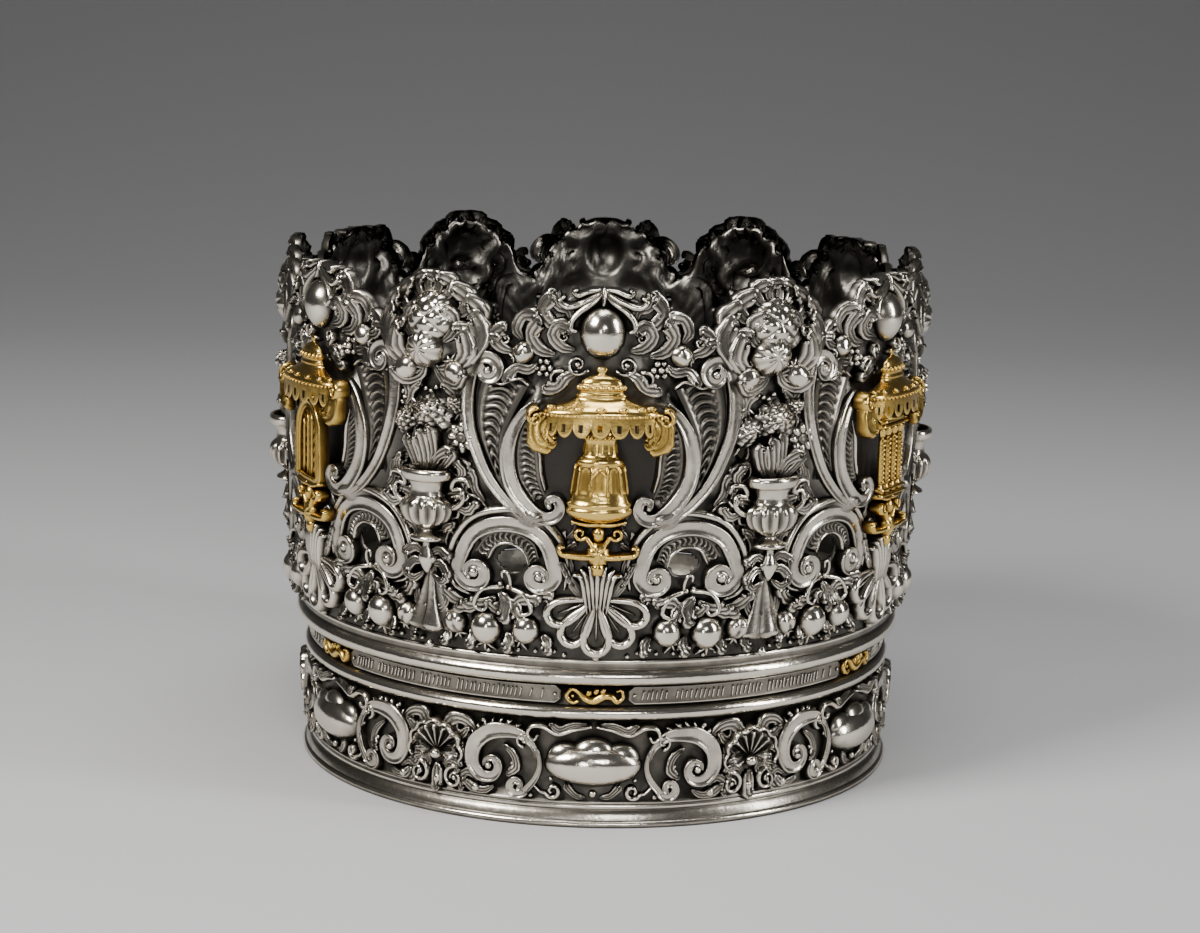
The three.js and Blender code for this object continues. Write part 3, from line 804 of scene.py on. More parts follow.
# ---- Flower vases, between the cartouches ----
def turned(profile, centre, squash=0.5, sides=28, s=0.0, flutes=0, flute_from=0, flute_to=0, depth=0.1,
        carve=None):
    """A half-round turned form standing before the wall: (radius, z) pairs up its outline."""
    sides = max(9, round(ROUNDWISE * sides))
    p = curve(profile, round(len(profile) * 2.4))
    a = np.linspace(-0.1, pi + 0.1, sides)
    r, z = p[:, 0][:, None] * np.ones(sides), p[:, 1][:, None] * np.ones(sides)
    r = np.maximum(r, 0.05)
    # Painted shading: evenly light, with painted shade in the flutes and in the carved openings.
    painted_shading = 0.9 * np.ones_like(r)
    if flutes:
        up = np.clip((z - flute_from) / (flute_to - flute_from), 0, 1)
        on = ((z > flute_from) & (z < flute_to)) * np.sin(pi * up)
        wave = np.abs(np.cos(flutes * a))[None]
        r = r * (1 - depth * on * (1 - wave))
        painted_shading = painted_shading - 0.75 * on * (1 - wave)
    if carve:
        cut = carve(a[None] + 0 * z, z)
        r, painted_shading = r - cut, painted_shading - 0.9 * np.clip(cut, 0, 1)
    pts = np.stack([s + r * np.cos(a), z, centre + r * squash * np.sin(a)], -1)
    faces = [grid_faces(len(p), sides, True)[:, ::-1]]
    faces += [np.arange(sides)[None], ((len(p) - 1) * sides + np.arange(sides))[None, ::-1]]
    return pts.reshape(-1, 3), faces, np.clip(painted_shading, 0, 1).reshape(-1)


def ruffled(count, depth):
    """An outline with small uneven lobes."""
    return lambda a: 1 + depth * np.sin(count * a) + 0.5 * depth * np.sin(2.3 * count * a + 1)


def frill(count, depth):
    """Twisted folds on a face."""
    return lambda r, a: depth * np.sin(count * a + 3 * r) * np.minimum(1, 1.6 * r)


def blossom(s, z, radius, base, petals=8):
    """A ring-centred flower."""

    def dimple(r, a):
        return -1.8 * np.exp(-((r / 0.5) ** 2)) + 0 * a

    forms = []
    for k in range(petals):
        a = 2 * pi * k / petals
        forms.append(dome(s + 0.64 * radius * cos(a), z + 0.64 * radius * sin(a), 0.44 * radius,
            0.3 * radius, 2.0, base, degrees(a), 4, 10))
    forms.append(dome(s, z, 0.38 * radius, 0.38 * radius, 3.0, base, rings=6, sides=14, chase=dimple))
    return forms


def carnation(s, z, radius, base):
    """A flower of four frilled layers."""
    forms = []
    for k, (size, count) in enumerate([(1.0, 9), (0.78, 8), (0.55, 7), (0.32, 5)]):
        forms.append(dome(s, z + 0.6 * k, radius * size, 0.82 * radius * size, 2.0, base + 1.5 * k,
            17 * k, 6, 72, ruffled(count, 0.09), frill(count, 0.6), 95))
    return forms


VASE_CENTRE = 5.4
VASE_SQUASH = 0.72
vase = Work()
vase.add(turned([(0.5, 100), (2.4, 103), (3.4, 106), (2.4, 109), (1.6, 112.5), (6.3, 113.6), (6.8, 115),
    (3.4, 116.6), (2.3, 118), (4.5, 119), (9.2, 121.8), (11, 125.5), (10.4, 129), (7.4, 131.2),
    (6.9, 132.2), (6.6, 134), (7.0, 136), (8.2, 138), (8.4, 139), (5, 139.4)], VASE_CENTRE, VASE_SQUASH,
    49, 0, 7, 118.8, 131.5, 0.26))
vase.add(turned([(8.4, 137.4), (10.2, 138.4), (10.8, 140), (10.6, 141.6), (9.4, 142.4), (8.4, 141.6),
    (8.6, 139.4)], VASE_CENTRE, VASE_SQUASH, 30))
for side in (-1, 1):
    handle = [(side * 7.5, 127, 4), (side * 12, 127.5, 4.6), (side * 15.5, 131, 4.8),
        (side * 14.5, 135, 4.6), (side * 10.5, 134.5, 4.4), (side * 12, 138.5, 4.8),
        (side * 16.5, 139, 5), (side * 18, 136, 4.6)]
    vase.add(tube(handle, [1.1, 1.3, 1.1, 0.9, 1.1, 0.9, 0.5], 48, 8))
    vase.add(leaf([(side * 12, 128), (side * 17, 126.5), (side * 20, 129.5)], 1.7, 1.8, 3, 3.2, 18, 1.2))
    vase.add(leaf([(side * 13, 137.5), (side * 15, 142), (side * 13, 145)], 1.5, 1.8, 3, 3.2, 18, 1.2))
    vase.add(volute(side * 15.6, 132.6, 2.2, 90 - side * 80, -side, 0.8, 2.0, 3.6))
    vase.add(tube([(side * 3, 117, 2.4), (side * 9, 117.5, 2), (side * 12, 113.5, 2),
        (side * 8, 111, 2.2)], [0.8, 0.7, 0.6], 24, 7))
vase.add(turned([(0.4, 75), (4, 75.6), (8.4, 76.6), (11.6, 78), (11.4, 79.4), (9, 83.4), (6.2, 89),
    (4.2, 95), (2.8, 100), (2.6, 104)], 2.0, 0.42, 61, 0, 2.5, 70, 104, 0.42))
vase.add(turned([(0.3, 68.6), (1.7, 69.8), (1.9, 71), (0.8, 72.6)], 3.5, 1.0, 14))
vase.add(dome(0, 105.5, 4.6, 3.2, 3.2, 4.2, rings=5, sides=16, outline=ruffled(5, 0.14)))
for side in (-1, 1):
    for points, w in [([(1, 107), (5, 110), (9, 108)], 1.7), ([(1, 104), (6, 104.5), (9, 101)], 1.7),
            ([(2, 100), (6, 97), (8.5, 98.5)], 1.4)]:
        vase.add(leaf([(side * s, z) for s, z in points], w, 2.2, 3, 3.4, 16, 1.5))
vase.add(leaves([([(-1, 140), (-0.5, 147), (-2, 155)], 2.8), ([(2, 141), (5, 147), (10, 150)], 2.0),
    ([(-3, 141), (-5.5, 147), (-7, 153)], 2.2), ([(4, 141), (8, 144), (12, 149)], 1.5),
    ([(1, 143), (3, 149), (2, 157)], 2.2)], 2.8, 4, 4.2, 22, 2.0))
vase.add(carnation(1, 163.5, 9.6, 4.2), carnation(-10, 159.5, 7.6, 3.0), carnation(10.5, 168, 5.0, 2.4))
vase.add(blossom(14.2, 155.5, 6.4, 3.2), blossom(-15.4, 168.5, 4.0, 2.0, 7))
for k in range(5):
    vase.add(blob(-8 + 2.4 * k, 173 + 1.2 * sin(1.7 * k), 2.0, 1.3, 1.3, 1.3))
build("flower_vases", everywhere(vase, range(SECTORS), 1), silver, numbered("flower_vase"))

# ---- Small leaf and curl work that fills the wall between the scrolls ----
filling = Work()
filling.pair(leaves([([(57, 119), (61, 124), (60, 130), (56, 132)], 2.0),
    ([(57, 131), (53, 137), (53, 143), (57, 146)], 2.2),
    ([(55, 145), (60, 149), (60, 155), (57, 158)], 2.0),
    ([(45, 131), (49, 135), (50, 141), (54, 142)], 1.8),
    ([(60, 160), (57, 166), (58, 172), (62, 175)], 2.0),
    ([(12, 118), (8, 122), (8, 127), (11, 129)], 1.6),
    ([(60, 107), (62.5, 112), (61, 118), (58, 120)], 1.7),
    ([(55, 160), (54, 165), (56, 170), (54, 175)], 1.6), ([(62, 96), (61, 90), (63, 86), (66, 86)], 1.5),
    ([(12, 100), (10, 106), (12, 112), (9, 116)], 1.3)], 2.2, 4, 0.7, 22, 1.6))
for points in [[(56, 118, 1), (52, 128, 2), (55, 138, 2), (60, 142, 2), (59, 147, 2.4), (56, 146, 2.4)],
        [(63, 121, 1), (60, 127, 2.2), (56, 127, 2.4), (56, 123.5, 2.4), (58.5, 123, 2.4)],
        [(53, 150, 1), (56, 156, 2), (55, 163, 2), (58, 168, 2), (61, 166, 2.2)],
        [(44, 128, 1), (48, 132, 2), (52, 133, 2.2), (52.5, 136, 2.2), (50, 136.5, 2.2)]]:
    filling.pair(tube(points, [0.8, 1.0, 0.9, 0.6], 36, 7))
for s, z in [(57, 134.5), (51.5, 145), (60, 158.5), (54.5, 171.5), (61, 103.5), (9.5, 124.5), (47, 129.5),
        (62.5, 131)]:
    filling.pair(blob(s, z, 1.6, 1.4, 1.4, 1.4))
build("wall_filling", everywhere(filling), silver)

# ---- Gilt canopies over the cartouches ----
CANOPY_SQUASH = 0.36
CANOPY_CENTRE = 1.5
canopy = Work()
canopy.add(turned([(17.5, 167.6), (21.8, 167.4), (22.6, 168.6), (21.6, 169.8), (18.6, 171), (14.4, 172.2),
    (11, 173.4), (9.4, 174.6), (10, 175.4), (8.8, 176), (8.6, 177), (9.6, 177.8), (9.4, 179), (8, 179.6),
    (7.8, 180.4), (6.2, 181.8), (3.6, 182.8), (1.4, 183.4), (1.2, 184), (1.9, 184.8), (1.6, 185.8),
    (0.2, 186.4)], CANOPY_CENTRE, CANOPY_SQUASH, 48))


def beads(count, radius, z, *size):
    """A half ring of beads round the canopy."""
    for k in range(count):
        a = pi * (k + 0.5) / count
        canopy.add(blob(radius * cos(a), z, CANOPY_CENTRE + radius * CANOPY_SQUASH * sin(a), *size))


beads(7, 19.6, 170.6, 2.3, 1.2, 1.3)
beads(9, 8.8, 178.4, 1.2, 1.2, 1.2, 5, 8)
beads(24, 22.6, 168, 0.75, 0.75, 0.75, 4, 6)


def fringe(tabs=9, count=109, top=168, drop=8.2):
    """The hanging scalloped border, each tab with a keyhole cut in it."""
    a = np.linspace(0.04, pi - 0.04, count)[None, :]
    v = np.linspace(0, 1, 9)[:, None]
    phase = tabs * (a - 0.04) / (pi - 0.08)
    tab = np.abs(np.sin(pi * phase))
    length = drop * (0.42 + 0.58 * tab**0.55)
    z = top - v * length
    sides = []
    for inset in (0.0, 0.9):
        r = 21.8 - inset + 0.7 * v
        sides.append(np.stack([r * np.cos(a), z, CANOPY_CENTRE + r * CANOPY_SQUASH * np.sin(a)], -1))
    hole = (np.abs((phase % 1) - 0.5) < 0.14) & (np.abs(v - 0.5) < 0.2)
    quads = grid_faces(9, count)
    keep = ~hole[:-1, :-1].reshape(-1)
    size = 9 * count
    faces = [quads[keep], quads[keep][:, ::-1] + size]
    bottom = 8 * count + np.arange(count - 1)
    faces.append(np.column_stack([bottom, bottom + 1, bottom + 1 + size, bottom + size]))
    # Painted shading: lighter towards the tabs' lower edge; the inner face is a darker copy, painted shade.
    painted_shading = np.clip(0.55 + 0.5 * v + 0 * a, 0, 1).reshape(-1)
    pts = np.vstack([side.reshape(-1, 3) for side in sides])
    return pts, faces, np.concatenate([painted_shading, 0.4 * painted_shading])


canopy.add(fringe())
canopy.pair(volute(24.8, 166.6, 3.6, 100, -1.2, 1.6, 3.6, 1.0),
    leaf([(20.6, 168), (24.4, 164), (24, 158.6), (21.4, 156.4)], 3.4, 3.6, 4, 1.4, 24, 0.8))
canopy.pair(leaf([(19.4, 166), (20.4, 161), (18.6, 157.6)], 2.2, 3.2, 3, 2.0, 20, 0.8))
build("gilt_canopies", standing([canopy], CANOPY_RADIUS), gilt, numbered("gilt_canopy"))

# ---- Gilt emblems: a domed temple, a row of columns and a tablet in turn ----
EMBLEM_CENTRE = 3.4
stand = Work()
stand.add(turned([(0.3, 103.5), (1.8, 105.5), (2.6, 108.5), (1.4, 110.5), (2.6, 112), (1.6, 114),
    (1.4, 119), (2.2, 121), (1.2, 124), (2.2, 127)], EMBLEM_CENTRE, 0.8, 16))
stand.pair(sweep([(0, 112.4), (6, 112.2), (11, 112.6), (14.2, 113.2), (15, 115.6), (13, 116.2)],
    [1.8, 1.6, 1.3, 1.0, 0.8], [3.4, 3.2], ROLL, 34, 3.0))
stand.pair(sweep([(1.6, 114), (2.6, 117.4), (4.6, 120)] + spiral(7, 121.6, 2.8, 0.8, 200, 1.1, 12),
    [1.3, 1.1, 0.9, 0.6], [3.4, 3.4], ROLL, 50, 3.0))
stand.pair(sweep([(0, 125.4), (5, 125.2), (10.6, 126.4)], [1.5, 1.3, 0.7], [3.6, 3.2], ROLL, 18, 3.2))
stand.add(dome(0, 113.4, 4.4, 5.2, 3.0, 4.0, rings=7, sides=40, outline=ruffled(7, 0.1),
    chase=frill(7, 0.4)))
stand.add(dome(0, 121.4, 2.6, 3.4, 2.8, 4.0, rings=6, sides=24, outline=ruffled(5, 0.08)))
stand.add(dome(0, 107.6, 2.6, 3.4, 2.6, 3.6, rings=5, sides=24, outline=ruffled(5, 0.1)))


def arcade(a, z):
    """Arched openings between columns round a drum."""
    bay = np.abs(((a * 5 / pi) % 1) - 0.5) * 2
    top = 147 - 2.4 * bay**2
    return 0.6 * ((bay < 0.66) & (z > 138.2) & (z < top)) + 0.45 * ((bay < 0.3) & (z > 153.6) & (z < 156.8))


temple = Work()
temple.forms += stand.forms
temple.add(turned([(3, 125.6), (8.5, 127), (12, 129), (12.8, 131), (12, 132.2), (12.6, 133.4),
    (11.6, 134.8), (11.2, 136), (10.8, 137), (10.6, 138), (10.3, 141), (9.9, 144), (9.3, 147.4),
    (9, 148.4), (9.4, 149.2), (9.2, 150.4), (8.4, 151.2), (7.2, 152.2), (6.9, 153.2), (6.7, 155),
    (6.4, 158), (6.8, 158.8), (6, 159.6), (5, 160), (4.6, 161.4), (3, 163), (0.2, 164.4)], EMBLEM_CENTRE,
    0.62, 61, carve=arcade))
for k in range(6):
    a = pi * k / 5
    temple.add(tube([(10.7 * cos(a), 137, EMBLEM_CENTRE + 6.6 * sin(a)),
        (10.2 * cos(a), 142, EMBLEM_CENTRE + 6.3 * sin(a)),
        (9.1 * cos(a), 148.6, EMBLEM_CENTRE + 5.6 * sin(a))], [0.75, 0.6, 0.75], 10, 7))
for k in range(13):
    a = pi * k / 12
    temple.add(blob(6.6 * cos(a), 159.4, EMBLEM_CENTRE + 4.1 * sin(a), 0.6, 1.2, 0.6, 4, 6))
for side in (-1, 1):
    temple.add(sweep([(side * 3.8, 139.2), (side * 3.6, 143), (0, 147.6)], [0.45, 0.45], [1.2, 1.2], ROLL,
        14, 8.6))

columns = Work()
columns.forms += stand.forms
for s in (-8.5, -2.9, 2.9, 8.5):
    stem = [(s, z, 4.2) for z in (131, 136, 141, 146, 151)]
    columns.add(tube(stem, [1.3, 1.5, 1.5, 1.4, 1.2], 24, 10))
    for k in range(10):
        columns.add(blob(s, 132.6 + 1.9 * k, 5.2, 1.25, 0.8, 1.2, 4, 8))
    columns.add(turned([(1.6, 151), (2.4, 153), (2.4, 154.4)], 4.2, 0.8, 12, s),
        turned([(2.4, 127.6), (2.2, 130), (1.6, 131.4)], 4.2, 0.8, 12, s))
for z, w in [(126.8, 12.4), (129.2, 11.4), (155.4, 11.8), (157.2, 10.6)]:
    columns.add(sweep([(-w, z), (0, z), (w, z)], [1.1, 1.1], [4.6, 4.6], ROLL, 12, 2.4))
columns.add(turned([(10, 158), (6, 160.6), (1.6, 162), (1.8, 163.4), (0.2, 165)], EMBLEM_CENTRE, 0.5, 24))

tablet = Work()
tablet.forms += stand.forms
arch = [(-9.6, 128), (-9.8, 140), (-9, 150), (-5.5, 156), (0, 158.4), (5.5, 156), (9, 150), (9.8, 140),
    (9.6, 128)]
tablet.add(sweep(arch + [(0, 127)] + arch[:1], [1.5, 1.5], [3.4, 3.4], FLAT_BAND, 120, 3.4))
tablet.pair(ribbon(arch[:5], [(0, 128), (0, 136), (0, 144), (0, 151), (0, 158)], 4.4, 60, 9, 9, 0.35, 0.1))
for s in (-5.6, -1.9, 1.9, 5.6):
    tablet.add(sweep([(s, 129), (s, 142), (s, 154.5 - 0.1 * s * s)], [0.4, 0.4], [1.0, 1.0], ROLL, 12, 4.2))
tablet.add(dome(0, 161, 2.6, 2.6, 2.4, 3.4, rings=5, sides=20, outline=ruffled(5, 0.15)))

build("gilt_emblems", standing([temple, columns, tablet], EMBLEM_RADIUS), gilt,
    numbered("gilt_emblem"))

# ---- Base band: foot, chased frieze, inscription channel and mouldings ----
def ring_part(profile, segments=288):
    """A closed ring from (radius, z, painted shading) points going up the outside and down the inside."""
    r, z, painted_shading = np.array(profile, float).T
    a = np.linspace(0, 2 * pi, segments, endpoint=False)[:, None]
    pts = np.stack([r * np.sin(a), -r * np.cos(a), z + 0 * a], -1).reshape(-1, 3) * MM
    n = len(r)
    i, j = np.meshgrid(np.arange(segments), np.arange(n), indexing="ij")
    ip, jp = (i + 1) % segments, (j + 1) % n
    faces = np.stack([i * n + j, ip * n + j, ip * n + jp, i * n + jp], -1).reshape(-1, 4)
    return pts, [faces], np.tile(painted_shading, segments)


# The third number of each point is painted shading: a painted highlight on the rounds of the mouldings,
# painted shade in their grooves.
foot = ring_part([(120.8, 0, 0.3), (126.8, 0, 0.5), (127.2, 0.6, 0.9), (127.2, 1.8, 1), (126.6, 2.4, 0.7),
    (126, 2.7, 0.15), (125.9, 3.1, 0.6), (125.3, 4.8, 0.6), (124.5, 6.3, 0.5), (123.7, 6.8, 0.15),
    (124.1, 7.3, 0.9), (124.1, 8.3, 0.9), (123.5, 8.8, 0.2), (123.9, 9.3, 0.8), (123.6, 10, 0.5),
    (122.9, 10.4, 0.1), (122.9, 26, 0.24), (122.9, 42.4, 0.24), (123.6, 42.9, 0.5), (124, 43.5, 0.8),
    (124.9, 43.9, 0.4), (125.9, 44.8, 0.9), (126.6, 46, 1), (126.6, 47.2, 1), (125.9, 48.3, 0.9),
    (124.9, 49.1, 0.5), (123.8, 49.5, 0.15), (123.3, 49.8, 0.1), (123.3, 58, 0.1), (120.8, 58.1, 0.2),
    (121, 30, 0.35)])
collar = ring_part([(121.2, 58.8, 0.15), (127.2, 58.8, 0.1), (129, 59.4, 0.7), (130, 60.8, 0.95),
    (130.2, 62.2, 1), (129.7, 63.8, 0.95), (128.6, 65, 0.6), (127.8, 65.6, 0.2), (128.1, 66.6, 0.45),
    (128.2, 67.6, 0.6), (128.7, 68.1, 0.9), (128.7, 69, 0.9), (128.2, 69.5, 0.3), (127.5, 69.9, 0.1),
    (126.6, 69.9, 0.2), (126.4, 62, 0.3), (121.2, 61, 0.3)])
build("base_band", [foot], silver, ["base_band"])
build("wall_collar", [collar], silver)

HUB_S, HUB_Z = 39, 27  # the middle of the large scroll
SHELL_Z = 25.5
frieze = Work()
frieze.add(dome(0, 25.2, 20.6, 8.4, 7.2, 0.8, 0, 12, 48, reach=98),
    dome(0, 29.6, 9.4, 7.0, 4.6, 0.8, 0, 10, 32, reach=98))
frieze.pair(dome(11, 27.6, 8.6, 6.6, 4.0, 0.8, 8, 10, 32, reach=98))
frieze.pair(sweep([(1, 41), (8, 39.6), (15, 37.6), (21, 40.4), (26, 40), (27.4, 36.4), (24.6, 34.8),
    (23.2, 36.8)], [0.7, 1.2, 1.4, 1.2, 0.9, 0.7], [2.2, 2.8, 2.8, 3.2], ROLL, 60, 0.4))
frieze.pair(sweep([(22.8, 26), (25, 32), (30.4, 36.6), (37.4, 37.6), (44.4, 36.2), (50, 31), (51, 24),
    (47.4, 18.6), (42, 18.4), (39.4, 22.2), (41.4, 25.8), (44.8, 25), (45, 22.6)],
    [0.5, 1.4, 2.6, 3.5, 3.6, 3.2, 2.6, 2.0, 1.6, 1.2, 0.9], [2.4, 3.6, 4.2, 4.2, 4.4], FLAT_BAND, 120,
    0.4))
frieze.pair(dome(43.6, 22.8, 1.8, 1.8, 2.6, 2.4, rings=5, sides=12))
frieze.pair(sweep([(24.6, 32), (22.4, 28), (22.2, 23), (24.4, 18), (28, 13.8)]
    + spiral(31.6, 15.4, 4.0, 1.2, 215, 1.15, 14), [0.6, 1.3, 1.8, 1.8, 1.5, 1.2, 0.9],
    [2.8, 3.8, 3.8, 4.0], FLAT_BAND, 90, 0.5))
frieze.pair(sweep([(26, 18), (22, 13.6)] + spiral(16.5, 14.4, 3.6, 1.0, -20, -1.1, 12),
    [0.5, 1.2, 1.2, 1.0, 0.8], [2.2, 3.0], ROLL, 60, 0.4))
frieze.pair(volute(29, 34.6, 3.4, -90, 1.1, 1.0, 2.6, 0.4))
for k in range(9):
    a = radians(112 - 14 * k)
    start = (HUB_S + 12.2 * cos(a), HUB_Z + 12.6 * sin(a))
    end = (HUB_S + 16.6 * cos(a + 0.15), HUB_Z + 15.4 * sin(a + 0.15))
    frieze.pair(sweep([start, middle(start, end), end], [0.4, 0.9, 0.9, 0.3], [1.8, 2.4, 1.6], ROLL, 10,
        0.2))
frieze.pair(leaves([([(3, 12), (7, 12.6), (10.6, 16.4)], 1.2),
    ([(38, 31.6), (33.4, 28), (32, 23), (34.6, 20.6)], 1.5),
    ([(50, 36), (55, 39.5), (60, 40), (63, 37.6)], 2.2),
    ([(52, 33), (56.5, 34), (58.5, 31), (56, 28)], 1.8),
    ([(51, 25), (55, 25.6), (59, 23), (58, 19.6)], 2.0),
    ([(49, 15.6), (53, 18.6), (57, 16), (56, 12.6)], 1.9),
    ([(42, 14), (46, 11.8), (51, 12.4), (54, 15)], 1.5),
    ([(60, 16), (63.5, 20), (62, 24), (59, 24.6)], 1.5),
    ([(3, 42), (9, 41.4), (14, 39.4), (17, 41.4)], 1.2), ([(58, 42), (60, 36), (57, 33), (54, 36)], 1.4)],
    2.2, 4, 0.3, 22, 1.4))
for s, z, r in [(54.5, 37, 1.2), (50, 12.6, 2.4), (60, 30, 1.3), (34, 24, 1.1), (24, 28, 1.0),
        (0, 13.4, 1.8), (5, 12.4, 1.1), (36, 41, 1.0), (55, 22.4, 1.1), (26, 11.8, 1.2), (47, 40.5, 1.1),
        (17.5, 19, 1.0), (62, 12.6, 1.2)]:
    frieze.pair(blob(s, z, 1.0, r, r, r, 5, 9))
frieze.add(fan(VASE, SHELL_Z, 12.6, 20, 160, 6, 4.6, 0.8, 1.0, 10, 9, 0.55, 0.16))


def shell_rim(a):
    """A point on the lobed rim of the frieze's shell."""
    r = 11.6 + 1.3 * abs(sin(6 * (a - 0.3)))
    return VASE + r * cos(a), SHELL_Z + r * sin(a)


frieze.add(sweep([shell_rim(a) for a in np.linspace(-0.3, pi + 0.3, 49)], [0.7, 1.1, 1.2, 1.1, 0.7],
    [4.6, 5.4, 5.6, 5.4, 4.6], ROLL, 120, 0.6))
for side in (-1, 1):
    frieze.add(fan(VASE + side * 0.2, 26.5, 9.6, 90 + side * 70, 90 + side * 118, 1, 3.6, 0.8, 1.0, 8, 9,
        0.5, 0.2))
    frieze.add(volute(VASE + side * 8.6, 15.4, 5.0, 90 - side * 10, side * 1.3, 1.5, 3.2, 0.5, 44))
    frieze.add(leaf([(VASE + side * 3, 20), (VASE + side * 6, 22.4), (VASE + side * 11, 21.4)], 1.4, 2.2,
        3, 0.8, 16, 1.0))
frieze.add(dome(VASE, 24.4, 3.0, 2.6, 4.0, 2.0, rings=6, sides=14),
    dome(VASE, 13.6, 2.2, 3.0, 2.6, 0.8, rings=6, sides=14))
frieze.add(leaf([(VASE, 20), (VASE, 16), (VASE, 11)], 2.4, 2.6, 3, 0.6, 16, 0.4))
for part in range(2):
    build_half("frieze", part, frieze, band_radius)

# ---- Inscription plates with strokes that aren't letters, and the gilt mounts ----
PLATE_Z = 53.9
PLATE_START = 14  # s of a plate's left end
PLATE_END = 2 * VASE - PLATE_START


def channel_radius(z):
    """The radius of the inscription channel, the same at any height."""
    return np.full_like(np.asarray(z, float), CHANNEL_RADIUS)


strip = [(s, PLATE_Z) for s in (PLATE_START, 40, VASE, 96, PLATE_END)]
# The third column is painted shading: painted highlights on the raised rims, painted shade at the foot.
plate_profile = [(-1, -0.2, 0.1), (-1, 0.7, 0.6), (-0.92, 0.95, 0.9), (-0.8, 0.8, 0.5), (0, 0.8, 0.5),
    (0.8, 0.8, 0.5), (0.92, 0.95, 0.9), (1, 0.7, 0.6), (1, -0.2, 0.1)]
plates = Work()
plates.add(sweep(strip, [1.6, 3.7] + [3.7] * 40 + [3.7, 1.6], [1.0, 1.0], plate_profile, 150))
for s in (16.4, 2 * VASE - 16.4):
    plates.add(blob(s, PLATE_Z, 1.0, 0.9, 0.9, 0.6, 4, 8))
s = 20.0
while s < 2 * VASE - 20:
    tall = rng.uniform(1.5, 2.2)
    lean = rng.uniform(0.2, 0.5)
    stroke = [(s - lean, PLATE_Z - tall), (s, PLATE_Z), (s + lean, PLATE_Z + tall)]
    plates.add(sweep(stroke, [0.42, 0.34, 0.42], [0.55, 0.55], ROLL, 6, 0.8))
    s += rng.uniform(1.7, 2.3) + (2.6 if rng.random() < 0.13 else 0)
build("inscription_plates", everywhere(plates, range(SECTORS), 0, channel_radius), silver,
    numbered("inscription_plate"))

mount = Work()
mount.add(sweep([(-6.4, 51.6), (-9, 50.8), (-11.6, 53.4), (-9.6, 56.4), (-6.8, 55.4), (-3.6, 52.4),
    (0, 51.8), (4, 53.8), (7, 53.4), (9.2, 51.4), (11.6, 53.2), (11, 56), (8.8, 55.8)],
    [0.8, 1.0, 1.1, 1.1, 1.3, 1.8, 2.0, 1.8, 1.3, 1.0, 0.9, 0.7], [1.6, 2.0, 2.4, 2.6, 2.2, 1.8], ROLL,
    100, 0.2))
mount.add(blob(-9, 53.6, 1.0, 0.8, 0.8, 1.0))
for s, z in [(-2.4, 55), (0.6, 55.8), (3.4, 56)]:
    mount.add(dome(s, z, 1.9, 1.5, 2.2, 0.4, 60, 4, 12))
build("gilt_scroll_mounts", everywhere(mount, range(SECTORS), 0, channel_radius), gilt,
    numbered("gilt_scroll_mount"))

# ---- Floor, light and camera ----
def plain(name, color, roughness):
    """A material of one colour."""
    m = bpy.data.materials.new(name)
    m.use_nodes = True
    shader = m.node_tree.nodes["Principled BSDF"]
    shader.inputs["Base Color"].default_value = (*color, 1)
    shader.inputs["Roughness"].default_value = roughness
    return m


def backdrop(half=6.0, front=-3.0, back=4.2, rise=4.4, bend=3.0):
    """A floor that curves up into a wall behind."""
    profile = [(front, 0), (back - bend, 0)]
    profile += [(back - bend + bend * sin(a), bend - bend * cos(a)) for a in np.linspace(0.08, pi / 2, 24)]
    profile.append((back, rise))
    verts = [(x, y, z) for y, z in profile for x in (-half, half)]
    quads = [(2 * i, 2 * i + 1, 2 * i + 3, 2 * i + 2) for i in range(len(profile) - 1)]
    mesh = bpy.data.meshes.new("floor")
    mesh.from_pydata(verts, [], quads)
    mesh.polygons.foreach_set("use_smooth", np.ones(len(quads), bool))
    obj = bpy.data.objects.new("floor", mesh)
    obj.data.materials.append(plain("floor", (0.5, 0.5, 0.505), 0.75))
    bpy.context.scene.collection.objects.link(obj)


backdrop()
WHITE = (1, 1, 1)


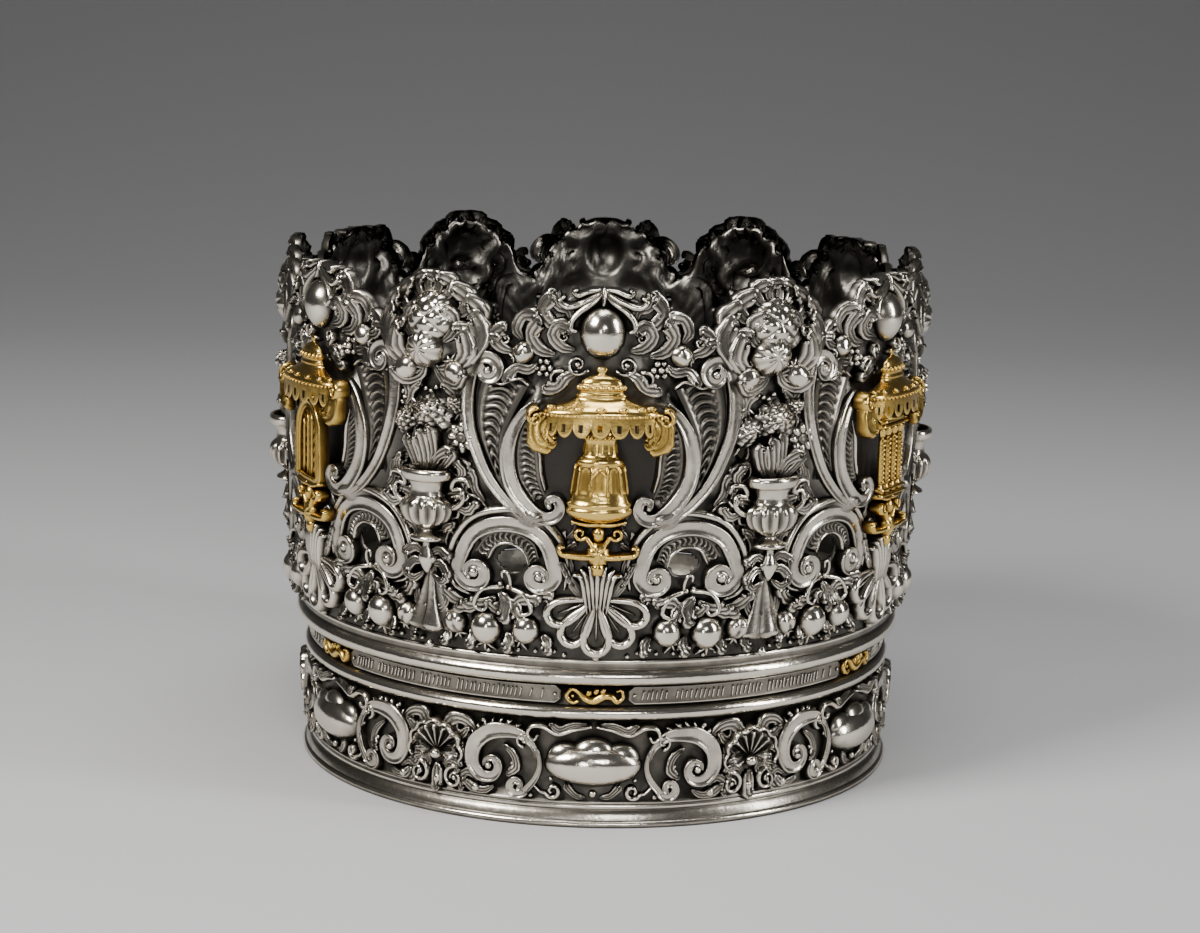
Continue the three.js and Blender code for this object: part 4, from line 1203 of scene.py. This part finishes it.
def lamp(name, place, aim, size, power, color):
    """A rectangular lamp turned to face a point."""
    data = bpy.data.lights.new(name, "AREA")
    data.shape = "RECTANGLE"
    data.size, data.size_y = size
    data.energy = power
    data.color = color
    obj = bpy.data.objects.new(name, data)
    obj.location = place
    obj.rotation_mode = "QUATERNION"
    obj.rotation_quaternion = (Vector(aim) - Vector(place)).to_track_quat("-Z", "Y")
    bpy.context.scene.collection.objects.link(obj)


# name, place, aim, size, power, colour
LAMPS = [("key", (-0.8, -0.75, 0.95), (0, 0, 0.12), (0.45, 0.45), 24, (1, 0.98, 0.95)),
    ("fill", (1.15, -0.5, 0.6), (0, 0, 0.1), (0.2, 0.8), 11, WHITE),
    ("glint", (-0.25, -1.5, 0.25), (0, 0, 0.12), (0.08, 0.3), 1.6, WHITE),
    ("top", (0.1, -0.2, 1.4), (0, 0, 0.1), (0.8, 0.4), 9, WHITE),
    ("front", (0.25, -1.7, 0.75), (0, 0, 0.1), (0.4, 0.3), 6, WHITE)]
for settings in LAMPS:
    lamp(*settings)

world = bpy.data.worlds.new("world")
bpy.context.scene.world = world
world.use_nodes = True
background = world.node_tree.nodes["Background"]
background.inputs["Color"].default_value = (0.5, 0.5, 0.52, 1)
background.inputs["Strength"].default_value = 0.09

CAMERA_DISTANCE = 1.217
CAMERA_RISE = radians(11.92)
CAMERA_ROLL = radians(1.33)
CAMERA_AIM = (0.0005, 0, 0.1)
camera = bpy.data.objects.new("camera", bpy.data.cameras.new("camera"))
bpy.context.scene.collection.objects.link(camera)
camera.data.lens = 84.2
camera.data.sensor_width = 36
camera.data.shift_y = 0.041
camera.location = (0, -CAMERA_DISTANCE * cos(CAMERA_RISE),
    CAMERA_AIM[2] + CAMERA_DISTANCE * sin(CAMERA_RISE))
look = (Vector(CAMERA_AIM) - camera.location).to_track_quat("-Z", "Y")
camera.rotation_mode = "QUATERNION"
camera.rotation_quaternion = look @ Matrix.Rotation(CAMERA_ROLL, 3, "Z").to_quaternion()
camera.data.clip_start = 0.05
camera.data.clip_end = 20
bpy.context.scene.camera = camera
